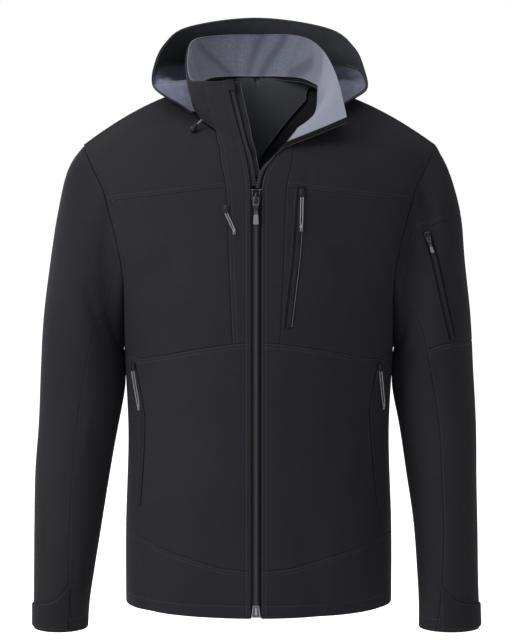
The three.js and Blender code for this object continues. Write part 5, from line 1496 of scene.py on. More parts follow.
    def make_tab(self, side: str, facing: float, stitching: Stitching) -> None:
        """Builds the cuff tab that wraps the outer side of the cuff."""
        share = np.linspace(0, 1, 61)
        degrees = self.TAB_BACK + (self.TAB_FRONT - self.TAB_BACK) * share
        top = self.TAB_TOP.read("v", degrees)
        rise = np.linspace(0, 1, 21)[:, None]
        v = self.TAB_TO + (top[None, :] - self.TAB_TO) * rise
        p, n = self.cell(side, np.broadcast_to(degrees[None, :], v.shape), v)
        points = p + n * (self.TAB_LIFT + TRIM)
        cloth = Cloth(points[::-1], facing, (Rim.STITCHED_ONCE, Rim.STITCHED_ONCE, Rim.STITCHED_ONCE,
                                             Rim.STITCHED_ONCE))
        Panel(f"cuff_tab_{side}", cloth, Finish.TRIM, TRIM, 0.005, "stretched",
              (f"sleeve_upper_{side}",)).make(stitching)


class Hand:
    """Models hard pieces with Blender's own operators, as by hand."""

    @staticmethod
    def clear() -> None:
        """Deselects everything."""
        if bpy.context.mode != "OBJECT":
            bpy.ops.object.mode_set(mode="OBJECT")
        bpy.ops.object.select_all(action="DESELECT")

    @classmethod
    def cube(cls, name: str, size: tuple[float, float, float], centre: tuple[float, float, float]) -> bpy.types.Object:
        """A box to start from, with its place in its mesh."""
        cls.clear()
        bpy.ops.mesh.primitive_cube_add(size=1, location=centre)
        obj = bpy.context.object
        obj.name = name
        obj.scale = size
        cls.apply_place(obj)
        return obj

    @classmethod
    def apply_place(cls, obj: bpy.types.Object) -> None:
        """Moves an object's place and scale into its mesh."""
        cls.clear()
        obj.select_set(True)
        bpy.context.view_layer.objects.active = obj
        bpy.ops.object.transform_apply(location=True, rotation=True, scale=True)

    @classmethod
    def edit(cls, obj: bpy.types.Object, faces: Callable[[Vector, Vector], bool]) -> None:
        """Enters edit mode with the faces selected whose centre and normal pass a test."""
        cls.clear()
        obj.select_set(True)
        bpy.context.view_layer.objects.active = obj
        for polygon in obj.data.polygons:
            polygon.select = faces(polygon.center, polygon.normal)
        for edge in obj.data.edges:
            edge.select = False
        for vertex in obj.data.vertices:
            vertex.select = False
        for polygon in obj.data.polygons:
            if polygon.select:
                for index in polygon.vertices:
                    obj.data.vertices[index].select = True
        bpy.ops.object.mode_set(mode="EDIT")
        bpy.ops.mesh.select_mode(type="FACE")

    @staticmethod
    def done() -> None:
        """Leaves edit mode."""
        bpy.ops.object.mode_set(mode="OBJECT")

    @classmethod
    def bevel(cls, obj: bpy.types.Object, width: float, segments: int = 2) -> None:
        """Rounds the sharp edges."""
        cls.clear()
        obj.select_set(True)
        bpy.context.view_layer.objects.active = obj
        modifier = obj.modifiers.new("soften", "BEVEL")
        modifier.width = width
        modifier.segments = segments
        modifier.limit_method = "ANGLE"
        modifier.angle_limit = math.radians(35)
        bpy.ops.object.modifier_apply(modifier=modifier.name)
        bpy.ops.object.shade_smooth_by_angle(angle=math.radians(40))

    @classmethod
    def joined(cls, name: str, objects: Sequence[bpy.types.Object]) -> bpy.types.Object:
        """One object from several."""
        cls.clear()
        for obj in objects:
            obj.select_set(True)
        bpy.context.view_layer.objects.active = objects[0]
        bpy.ops.object.join()
        objects[0].name = name
        objects[0].data.name = name
        return objects[0]

    @staticmethod
    def placed(obj: bpy.types.Object, matrix: Matrix) -> bpy.types.Object:
        """Puts a piece that was made at the origin in its place."""
        obj.data.transform(matrix)
        return obj


def standing(point: Array, normal: Array, upward: Array, lift: float) -> Matrix:
    """The place of a piece that stands on cloth: its -Y to the normal, its +Z up the line."""
    y = -Vector(normal)
    z = Vector(upward)
    z = (z - y * z.dot(y)).normalized()
    x = y.cross(z)
    turn = Matrix((x, y, z)).transposed().to_4x4()
    return Matrix.Translation(Vector(point) + Vector(normal) * lift) @ turn


@dataclass
class Slider:
    """A zip slider with an arch, and the hard pull tab whose cross bar lies under the arch.

    Its origin is the cross bar's middle, which is the tab's hinge axis.
    """

    name: str
    scale: float = 1.0
    wide: float = 0.011
    tall: float = 0.023
    thick: float = 0.0032
    arch: float = 0.003
    rise: float = 0.0025
    bar: float = 0.0014
    reach: float = 0.0046
    tab_wide: float = 0.0076
    tab_slot: float = 0.0044
    tab_bar: float = 0.0015
    tab_eye: float = 0.008
    tab_length: float = 0.036
    tab_thick: float = 0.0015
    grip: float = 0.0125

    def body(self) -> bpy.types.Object:
        """The slider's shoulders, waist and diamond, with the arch on top."""
        front = -self.rise / 2 - 0.00005
        body = Hand.cube("shoulders", (self.wide, self.thick, self.tall * 0.5),
                         (0, self.rise / 2 + self.thick / 2, self.tall * 0.2))
        Hand.edit(body, lambda c, n: n.z < -0.9)
        bpy.ops.mesh.extrude_region_move(TRANSFORM_OT_translate={"value": (0, 0, -self.tall * 0.32)})
        bpy.ops.transform.resize(value=(0.72, 1, 1))
        bpy.ops.mesh.extrude_region_move(TRANSFORM_OT_translate={"value": (0, 0, -self.tall * 0.12)})
        bpy.ops.transform.resize(value=(0.86, 1, 1))
        Hand.done()
        Hand.edit(body, lambda c, n: n.z > 0.9)
        bpy.ops.mesh.extrude_region_move(TRANSFORM_OT_translate={"value": (0, 0, self.tall * 0.05)})
        bpy.ops.transform.resize(value=(0.66, 1, 1))
        Hand.done()
        Hand.edit(body, lambda c, n: n.y < -0.9)
        bpy.ops.mesh.inset(thickness=0.0009, depth=0)
        bpy.ops.mesh.extrude_region_move(TRANSFORM_OT_translate={"value": (0, 0.0004, 0)})
        Hand.done()
        Hand.bevel(body, 0.0004)
        legs = []
        for sign in (-1, 1):
            legs.append(Hand.cube("leg", (self.arch, self.rise + self.bar, self.bar),
                                  (0, self.rise / 2 - (self.rise + self.bar) / 2, sign * (self.reach + self.bar / 2))))
        top = Hand.cube("bridge", (self.arch, self.bar, 2 * (self.reach + self.bar)),
                        (0, front - self.bar / 2, 0))
        Hand.edit(top, lambda c, n: n.y < -0.9)
        bpy.ops.mesh.inset(thickness=0.0007, depth=0)
        bpy.ops.transform.translate(value=(0, -0.0004, 0))
        Hand.done()
        arch = Hand.joined("arch", [top, *legs])
        Hand.bevel(arch, 0.00035)
        return Hand.joined(f"{self.name}_slider", [body, arch])

    def tab(self) -> tuple[bpy.types.Object, bpy.types.Object]:
        """The metal puller round the arch, and the moulded grip at its end."""
        half, slot, y = self.tab_wide / 2, self.tab_slot / 2, self.tab_thick
        bar = Hand.cube("bar", (self.tab_wide, y, self.tab_bar), (0, 0, 0))
        rails = [Hand.cube("rail", (half - slot, y, self.tab_eye + self.tab_bar / 2),
                           (sign * (half + slot) / 2, 0, -self.tab_eye / 2 - self.tab_bar / 4)) for sign in (-1, 1)]
        blade = Hand.cube("blade", (self.tab_wide, y, 0.003), (0, 0, -self.tab_eye - 0.0015))
        Hand.edit(blade, lambda c, n: n.z < -0.9)
        stem = self.tab_length - self.grip - self.tab_eye - 0.003
        bpy.ops.mesh.extrude_region_move(TRANSFORM_OT_translate={"value": (0, 0, -stem * 0.3)})
        bpy.ops.transform.resize(value=(0.62, 1, 1))
        bpy.ops.mesh.extrude_region_move(TRANSFORM_OT_translate={"value": (0, 0, -stem * 0.7)})
        Hand.done()
        puller = Hand.joined(f"{self.name}_puller", [bar, *rails, blade])
        Hand.bevel(puller, 0.0003)
        grip = Hand.cube(f"{self.name}_grip", (self.tab_wide * 0.92, y * 1.35, self.grip),
                         (0, 0, -self.tab_length + self.grip / 2))
        Hand.edit(grip, lambda c, n: n.z > 0.9)
        bpy.ops.transform.resize(value=(0.82, 1, 1))
        Hand.done()
        Hand.edit(grip, lambda c, n: abs(n.y) > 0.9)
        bpy.ops.mesh.inset(thickness=0.0012, depth=0, use_individual=True)
        bpy.ops.transform.resize(value=(1, 0.72, 1))
        Hand.done()
        Hand.bevel(grip, 0.0006, 3)
        return puller, grip

    def make(self, place: Matrix, slider_node: str, tab_node: str, tab_body: str) -> None:
        """Builds the slider and its tab in their place.

        Args:
            place: where the cross bar's middle stands.
            slider_node, tab_node: the CAD nodes that they replace.
            tab_body: the body that the tab rides on.
        """
        matrix = place @ Matrix.Scale(self.scale, 4)
        settle(Hand.placed(self.body(), matrix), Finish.SLIDER, slider_node)
        puller, grip = self.tab()
        settle(Hand.placed(puller, matrix), Finish.SLIDER, tab_node, body=tab_body)
        settle(Hand.placed(grip, matrix), Finish.TAB, body=tab_body)


def repeated(name: str, model: bpy.types.Object, origins: Array, x: Array, y: Array, z: Array) -> bpy.types.Object:
    """Copies a model to many places as one joined mesh.

    Args:
        name: the new object's name.
        model: the piece to copy, which is then removed.
        origins: its places.
        x, y, z: its own directions at each place.

    Returns:
        The joined object.
    """
    local = np.array([v.co for v in model.data.vertices])
    faces = [tuple(p.vertices) for p in model.data.polygons]
    points = (origins[:, None] + x[:, None] * local[None, :, :1] + y[:, None] * local[None, :, 1:2]
              + z[:, None] * local[None, :, 2:]).reshape(-1, 3)
    every = [[i + k * len(local) for i in face] for k in range(len(origins)) for face in faces]
    bpy.data.objects.remove(model)
    return mesh_of(name, points, every, smooth=False)


class Zips:
    """Every zip: tapes, teeth or coils, sliders, pulls and the bottom box."""

    TOOTH = (0.0042, 0.0015, 0.00165)
    TOOTH_PITCH = 0.0029
    TAPE = 0.0011
    PANEL_ZIPS = (
        ("chest_zip_L", "L", 0.0003, ((0.060, -0.098), (0.053, -0.190), (0.042, -0.285))),
        ("hand_zip_R", "R", -0.0004, ((0.172, -0.338), (0.160, -0.400), (0.159, -0.440), (0.165, -0.535))),
        ("hand_zip_L", "L", 0.0002, ((0.166, -0.338), (0.156, -0.400), (0.158, -0.440), (0.166, -0.535))),
    )
    WIDTH = 0.0106
    # Half the width of the main tape with its sewn edges, and how far they lie behind the line
    SELVEDGE, SELVEDGE_SET = 0.0105, 0.0024
    # Section of the two lips over a hand pocket's zip: share of half the width, height
    LIPS = ((-1, 0), (-0.96, 0.00025), (-0.6, 0.0005), (-0.2, 0.0007), (-0.1, 0.00045), (-0.03, -0.0004),
            (0.03, -0.0004), (0.1, 0.0007), (0.22, 0.0010), (0.6, 0.0006), (0.96, 0.00025), (1, 0))
    COIL_PITCH = 0.0013
    # Cord pulls: side, place of the slider, how far the loop drops and leans, height over the cloth
    PULLS = (
        ("chest_R", "R", 0.0405, -0.127, 0.023, -0.011, 0.0),
        ("chest_L", "L", 0.060, -0.106, 0.040, -0.001, 0.0015),
        ("hand_R", "R", 0.170, -0.344, 0.048, -0.008, 0.0012),
        ("hand_L", "L", 0.165, -0.344, 0.048, 0.005, 0.0012),
    )
    # The sleeve pocket's zip on the sleeve's chart: its line, ends and slider
    SLEEVE_LINE = Table("v degrees", [(0.7, 80), (1.2, 78.5), (2.1, 79), (3, 74), (3.76, 69), (4.2, 64.5)])
    SLEEVE_FROM, SLEEVE_TO, SLEEVE_SLIDER = 0.74, 4.14, 0.84
    CORD = 0.0015
    CORD_LIFT = 0.0014
    CORD_START = 0.0054
    LOOP = ((0, 0.0015), (0.25, 0.0015), (0.5, 0.0015), (0.75, 0.0015), (0.95, 0.0011), (1, 0.0004))

    def __init__(self, sleeves: Sleeves) -> None:
        """Keeps the sleeves, which carry one zip."""
        self.sleeves = sleeves

    def on_front(self, side: str, x: Array, z: Array) -> tuple[Array, Array]:
        """Points and directions of a front at x, z as seen from the front."""
        half = FRONT[side]
        places = half.locate(x, z)
        s, t = places[..., 0], places[..., 1]
        step = 1e-3
        across = half.point(np.minimum(s + step, 1), t) - half.point(np.maximum(s - step, 0), t)
        up = half.point(s, np.minimum(t + step, TOP_ROW)) - half.point(s, np.maximum(t - step, 0))
        return half.point(s, t), unit(np.cross(across, up)) * np.sign(SIDES[side])

    def ribbon(self, name: str, points: Array, normals: Array, reaches: Array, lift: float,
               thickness: float, nodes: tuple[str, ...], finish: Finish = Finish.TAPE) -> bpy.types.Object:
        """A band along points.

        Args:
            name: the new piece's name.
            points, normals: the line it follows and the cloth's directions there.
            reaches: its columns' places across.
            lift: how far its inner face lies off the line.
            thickness: its thickness.
            nodes: the CAD nodes that it replaces.
            finish: its finish.

        Returns:
            The piece.
        """
        tangent = unit(np.gradient(points, axis=0))
        side = unit(np.cross(tangent, normals))
        grid = points[:, None] + side[:, None] * reaches[None, :, None] + normals[:, None] * (lift + thickness)
        cloth = Cloth(grid, 1, (Rim.CUT,) * 4)
        if (cloth.normals * normals[:, None]).sum() < 0:
            cloth.facing = -1
        obj = cloth.build(name, thickness)
        settle(obj, finish, *nodes)
        declare(obj, cloth, "stretched", "front_centre_R")
        return obj

    def tooth(self) -> bpy.types.Object:
        """One moulded tooth: its foot at +X on the tape, its head just past the middle."""
        wide, deep, tall = self.TOOTH
        tooth = Hand.cube("tooth", (wide, deep, tall), (wide * 0.5 - 0.0009, -deep / 2, 0))
        Hand.edit(tooth, lambda c, n: n.x < -0.9)
        bpy.ops.transform.resize(value=(1, 1, 1.25))
        bpy.ops.mesh.extrude_region_move(TRANSFORM_OT_translate={"value": (-0.0005, 0, 0)})
        bpy.ops.transform.resize(value=(1, 0.8, 0.6))
        Hand.done()
        Hand.edit(tooth, lambda c, n: n.y < -0.9)
        bpy.ops.transform.resize(value=(0.92, 1, 0.72))
        Hand.done()
        return tooth

    def teeth(self, name: str, points: Array, normals: Array, sides: tuple[int, ...]) -> None:
        """Teeth along a line.

        Args:
            name: the new piece's name.
            points, normals: the line and the directions that the teeth face.
            sides: 1 and -1 for the two sides of the chain that have teeth.
        """
        length = np.concatenate([[0], np.cumsum(np.linalg.norm(np.diff(points, axis=0), axis=-1))])
        read = lambda values, at: np.stack([np.interp(at, length, values[:, c]) for c in range(3)], -1)
        origins, xs, ys, zs = [], [], [], []
        for sign in sides:
            at = np.arange(self.TOOTH_PITCH * (0.5 if sign > 0 else 1.0), length[-1], self.TOOTH_PITCH)
            place, normal = read(points, at), unit(read(normals, at))
            tangent = unit(read(points, at + 0.001) - read(points, at - 0.001))
            across = unit(np.cross(tangent, normal)) * sign
            origins.append(place)
            xs.append(across)
            ys.append(-normal)
            zs.append(np.cross(across, -normal))
        obj = repeated(name, self.tooth(), *map(np.concatenate, (origins, xs, ys, zs)))
        settle(obj, Finish.TEETH)

    def coil_rib(self) -> bpy.types.Object:
        """One leaning turn of a coil under its woven cover."""
        rib = Hand.cube("rib", (0.0024, 0.0006, 0.00075), (0.00125, -0.0003, 0))
        Hand.edit(rib, lambda c, n: n.x > 0.9)
        bpy.ops.transform.translate(value=(0, 0, -0.0005))
        Hand.done()
        Hand.edit(rib, lambda c, n: n.y < -0.9)
        bpy.ops.transform.resize(value=(0.85, 1, 0.5))
        Hand.done()
        return rib

    def coil(self, name: str, points: Array, normals: Array) -> None:
        """The two rows of ribs of a coil zip."""
        length = np.concatenate([[0], np.cumsum(np.linalg.norm(np.diff(points, axis=0), axis=-1))])
        read = lambda values, at: np.stack([np.interp(at, length, values[:, c]) for c in range(3)], -1)
        at = np.arange(self.COIL_PITCH, length[-1], self.COIL_PITCH)
        place, normal = read(points, at), unit(read(normals, at))
        tangent = unit(read(points, at + 0.001) - read(points, at - 0.001))
        side = unit(np.cross(tangent, normal))
        parts = [repeated(name + ("_a" if sign > 0 else "_b"), self.coil_rib(), place, side * sign, -normal,
                          tangent) for sign in (1, -1)]
        flipped = parts[1].data
        flipped.flip_normals()
        obj = Hand.joined(name, parts)
        settle(obj, Finish.TEETH)

    def make_main(self, centres: dict[str, Cloth]) -> None:
        """The main zip: the closed run, the two open runs, slider, tab and bottom box."""
        z = np.linspace(ZIP_BOTTOM, ZIP_TOP, 141)
        edge, _ = self.on_front("R", np.full(z.shape, FRONT_EDGE), z)
        line = np.stack([0 * z, edge[:, 1] + ZIP_SET, z], -1)
        tangent = unit(np.gradient(line, axis=0))
        normals = unit(np.cross(tangent, np.array([-1.0, 0, 0])[None]))
        if normals[0, 1] > 0:
            normals = -normals
        reaches = np.array([-1, -0.62, -0.55, 0, 0.55, 0.62, 1]) * ZIP_HALF
        self.ribbon("tape_main_closed", line, normals, reaches, -self.TAPE, self.TAPE, ("main_zip_closed",))
        self.teeth("teeth_main_closed", line, normals, (1, -1))
        self.selvedge(line, normals)
        for side in "RL":
            self.open_run(side, centres[side])
        slider_line, _ = self.on_front("R", np.full(2, FRONT_EDGE), np.array([SLIDER_AT, SLIDER_AT - 0.03]))
        at = np.array([0, slider_line[0, 1] + ZIP_SET, SLIDER_AT])
        up = at - np.array([0, slider_line[1, 1] + ZIP_SET, SLIDER_AT - 0.03])
        normal = unit(np.cross(up, np.array([-1.0, 0, 0])))
        slider = Slider("main")
        slider.make(standing(at, normal, up, slider.thick + slider.rise / 2 + LAYER * 2),
                    "main_slider", "main_pull_tab", "main_pull")
        self.bottom_box()

    def selvedge(self, line: Array, normals: Array) -> None:
        """The tape's two edges, sewn under the fronts and run on to the hem behind the bottom box."""
        foot = np.repeat(line[:1], 7, 0)
        foot[:, 2] = np.linspace(HEM + 0.0015, ZIP_BOTTOM - 0.001, 7)
        points = np.concatenate([foot, line])
        directions = np.concatenate([np.repeat(normals[:1], 7, 0), normals])
        reaches = np.linspace(-1, 1, 9) * self.SELVEDGE
        self.ribbon("tape_main_selvedge", points, directions, reaches, -self.SELVEDGE_SET, TRIM * 0.7, ())

    def open_run(self, side: str, centre: Cloth) -> None:
        """The tape and teeth on one open front edge, from the slider to the collar's top."""
        strip = centre.points
        rows = np.flatnonzero(strip[:, 0, 2] > ZIP_TOP + 0.0005)[:-3]
        edge = strip[rows, 0]
        normals = centre.normals[rows, 2]
        inward = unit(edge - strip[rows, 8])
        reach = np.full(len(rows), 0.0064)
        outer = edge + inward * reach[:, None]
        grid = np.stack([edge + inward * 0.0003 - normals * 0.0002, (edge + outer) / 2, outer], 1)
        cloth = Cloth(grid, 1, (Rim.CUT,) * 4)
        if (cloth.normals * normals[:, None]).sum() < 0:
            cloth.facing = -1
        obj = cloth.build(f"tape_main_open_{side}", self.TAPE)
        settle(obj, Finish.TAPE, f"main_zip_open_{side}")
        declare(obj, cloth, "stretched", f"front_centre_{side}")
        line = edge + inward * (reach * 0.98)[:, None] + normals * 0.0001
        self.teeth(f"teeth_main_open_{side}", line, normals, (-1,) if side == "R" else (1,))

    def bottom_box(self) -> None:
        """The metal box that the zip's foot plugs into."""
        low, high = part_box("zip_bottom_box")
        size = high - low
        centre = (low + high) / 2
        box = Hand.cube("zip_box", tuple(size), tuple(centre))
        Hand.edit(box, lambda c, n: n.z > 0.9)
        bpy.ops.transform.resize(value=(0.66, 1, 1))
        Hand.done()
        Hand.edit(box, lambda c, n: n.y < -0.9)
        bpy.ops.mesh.inset(thickness=0.0016, depth=0)
        bpy.ops.mesh.extrude_region_move(TRANSFORM_OT_translate={"value": (0, 0.0012, 0)})
        Hand.done()
        Hand.bevel(box, 0.0005)
        pin = Hand.cube("pin", (0.0022, 0.0016, size.z * 0.62), (centre.x, low.y + 0.0012, centre.z))
        Hand.bevel(pin, 0.0005)
        settle(Hand.joined("zip_bottom_box_metal", [box, pin]), Finish.BOX, "zip_bottom_box")

    def make_panel_zips(self, stitching: Stitching) -> None:
        """The pocket zips on the fronts, with their sliders and cord pulls."""
        for name, side, lift, shown in self.PANEL_ZIPS:
            places = FRONT[side].locate(*np.array(shown).T)
            x_z = FRONT[side].nominal(*spline(places, np.linspace(0, 1, 81)).T)
            points, normals = self.on_front(side, x_z[:, 0], x_z[:, 2])
            reaches = np.array([-1, -0.8, -0.4, 0, 0.4, 0.8, 1]) * self.WIDTH / 2
            if name.startswith("hand"):
                self.welts(name, points, normals, max(lift, 0.0001))
                continue
            self.ribbon(f"tape_{name}", points, normals, reaches, max(lift, 0.0001), TRIM, (name,))
            self.coil(f"coil_{name}", points + normals * (max(lift, 0.0001) + TRIM), normals)
            tangent = unit(np.gradient(points, axis=0))
            across = unit(np.cross(tangent, normals))
            stitching.row(points + across * (self.WIDTH / 2 + 0.0018), normals)
            binding = Stitching(f"stitching_{name}", Finish.BINDING)
            binding.row(points[18:] - across[18:] * (self.WIDTH / 2 - 0.0004)
                        + normals[18:] * (max(lift, 0.0001) + TRIM), normals[18:])
            binding.build()
        for pull in self.PULLS:
            self.make_pull(*pull)

    def welts(self, name: str, points: Array, normals: Array, lift: float) -> None:
        """A hand pocket's zip: two cloth lips that meet over it, with a dark groove between.

        Args:
            name: the CAD node.
            points, normals: the line of the pocket and the cloth's directions there.
            lift: how far the lips lie off the cloth.
        """
        tangent = unit(np.gradient(points, axis=0))
        side = unit(np.cross(tangent, normals))
        half = self.WIDTH / 2
        across, rise = np.array(self.LIPS).T
        ease = np.minimum(1, np.minimum(np.arange(len(points)), np.arange(len(points))[::-1]) / 4)
        grid = (points[:, None] + side[:, None] * (across * half)[None, :, None]
                + normals[:, None] * (lift + WALL * 0.5 + rise[None, :] * (0.35 + 0.65 * ease[:, None]))[..., None])
        cloth = Cloth(grid, 1, (Rim.CUT,) * 4)
        if (cloth.normals * normals[:, None]).sum() < 0:
            cloth.facing = -1
        obj = cloth.build(f"tape_{name}", WALL * 0.5)
        settle(obj, Finish.LIP, name)
        declare(obj, cloth, "stretched", f"front_lower_{name[-1]}")

    def make_pull(self, name: str, side: str, x: float, z: float, drop: float, lean: float, over: float) -> None:
        """One small slider and the cord loop that hangs from it."""
        at, normal = self.on_front(side, np.array([x, x]), np.array([z, z - 0.010]))
        slider = Hand.cube(f"small_slider_{name}", (0.007, 0.0026, 0.008), (0, -0.0013, 0.0005))
        Hand.edit(slider, lambda c, n: abs(n.z) > 0.9)
        bpy.ops.mesh.extrude_region_shrink_fatten(TRANSFORM_OT_shrink_fatten={"value": 0.001})
        bpy.ops.transform.resize(value=(0.6, 0.8, 1))
        Hand.done()
        Hand.edit(slider, lambda c, n: n.y < -0.9 and abs(c.z) < 0.003)
        bpy.ops.mesh.inset(thickness=0.0012, depth=0)
        bpy.ops.mesh.extrude_region_move(TRANSFORM_OT_translate={"value": (0, -0.0009, 0)})
        bpy.ops.transform.resize(value=(0.5, 1, 0.8))
        Hand.done()
        Hand.bevel(slider, 0.00035)
        place = standing(at[0], normal[0], at[0] - at[1], over + LAYER)
        settle(Hand.placed(slider, place), Finish.SMALL_SLIDER, f"slider_{name}")
        route = []
        for leg in (-1, 1):
            rows = self.LOOP if leg < 0 else self.LOOP[::-1]
            share, spread = np.array(rows).T
            p, n = self.on_front(side, x + lean * share, z - self.CORD_START - drop * share)
            p = p + n * (over + self.CORD_LIFT + self.CORD / 2)
            p[:, 0] += leg * spread
            route.append(p)
        route = np.concatenate(route)
        route = spline(route, np.linspace(0, 1, 34))
        curve = bpy.data.curves.new(f"cord_{name}", "CURVE")
        curve.dimensions = "3D"
        curve.bevel_depth = self.CORD / 2
        curve.bevel_resolution = 3
        curve.use_fill_caps = True
        line = curve.splines.new("POLY")
        line.points.add(len(route) - 1)
        line.points.foreach_set("co", np.concatenate([route, np.ones((len(route), 1))], 1).ravel())
        obj = linked(f"cord_{name}", curve)
        settle(obj, Finish.CORD, f"pull_{name}")
        knot = self.knot(name, side, x + lean, z - self.CORD_START - drop, over)
        tuple(route[0])

    def knot(self, name: str, side: str, x: float, z: float, over: float) -> bpy.types.Object:
        """The knot that closes a pull's loop: a lumpy ball of cord with two short tails."""
        p, n = self.on_front(side, np.array([x]), np.array([z + 0.0005]))
        centre = p[0] + n[0] * (over + self.CORD_LIFT + self.CORD * 0.6)
        Hand.clear()
        bpy.ops.mesh.primitive_uv_sphere_add(segments=16, ring_count=10, radius=0.0021, location=(0, 0, 0))
        ball = bpy.context.object
        ball.scale = (1.0, 0.85, 1.15)
        Hand.apply_place(ball)
        tails = [Hand.cube("tail", (0.0013, 0.0013, 0.0045), (sign * 0.0009, 0, -0.0038)) for sign in (-1, 1)]
        for tail in tails:
            Hand.edit(tail, lambda c, normal: normal.z < -0.9)
            bpy.ops.transform.translate(value=(0.0006 if tail is tails[1] else -0.0006, 0, 0))
            Hand.done()
            Hand.bevel(tail, 0.0005, 3)
        for vertex in ball.data.vertices:
            swell = 1 + 0.14 * math.sin(3 * math.atan2(vertex.co.x, vertex.co.z) + 900 * vertex.co.y)
            vertex.co *= swell
        knot = Hand.joined(f"knot_{name}", [ball, *tails])
        Hand.placed(knot, standing(centre, n[0], np.array([0, 0, 1.0]), 0))
        return settle(knot, Finish.CORD)

    def make_sleeve(self, stitching: Stitching) -> None:
        """The sleeve pocket's zip with its slider and hard tab."""
        v = np.linspace(self.SLEEVE_FROM, self.SLEEVE_TO, 81)
        points, normals = self.sleeves.cell("L", self.SLEEVE_LINE.read("degrees", v), v)
        reaches = np.array([-1, -0.8, -0.4, 0, 0.4, 0.8, 1]) * self.WIDTH / 2
        self.ribbon("tape_sleeve_zip_L", points, normals, reaches, LAYER, TRIM, ("sleeve_zip_L",))
        self.coil("coil_sleeve_zip_L", points + normals * (LAYER + TRIM), normals)
        tangent = unit(np.gradient(points, axis=0))
        across = unit(np.cross(tangent, normals))
        for sign in (-1, 1):
            stitching.row(points + across * sign * (self.WIDTH / 2 + 0.0018), normals)
        v = self.SLEEVE_SLIDER + np.array([-0.1, 0, 0.1])
        degrees = self.SLEEVE_LINE.read("degrees", v)
        line = self.sleeves.plain("L", degrees, v)
        around = self.sleeves.plain("L", degrees[1] + 1, v[1]) - self.sleeves.plain("L", degrees[1] - 1, v[1])
        down = self.sleeves.plain("L", degrees[1], v[1] + 0.02) - self.sleeves.plain("L", degrees[1], v[1] - 0.02)
        normal = unit(np.cross(around, down))
        small = Slider("sleeve", scale=0.62)
        lift = TRIM + LAYER * 2 + (small.thick + small.rise / 2) * small.scale
        small.make(standing(line[1], normal, line[0] - line[2], lift), "sleeve_slider_L", "sleeve_pull_tab_L",
                   "sleeve_pull")


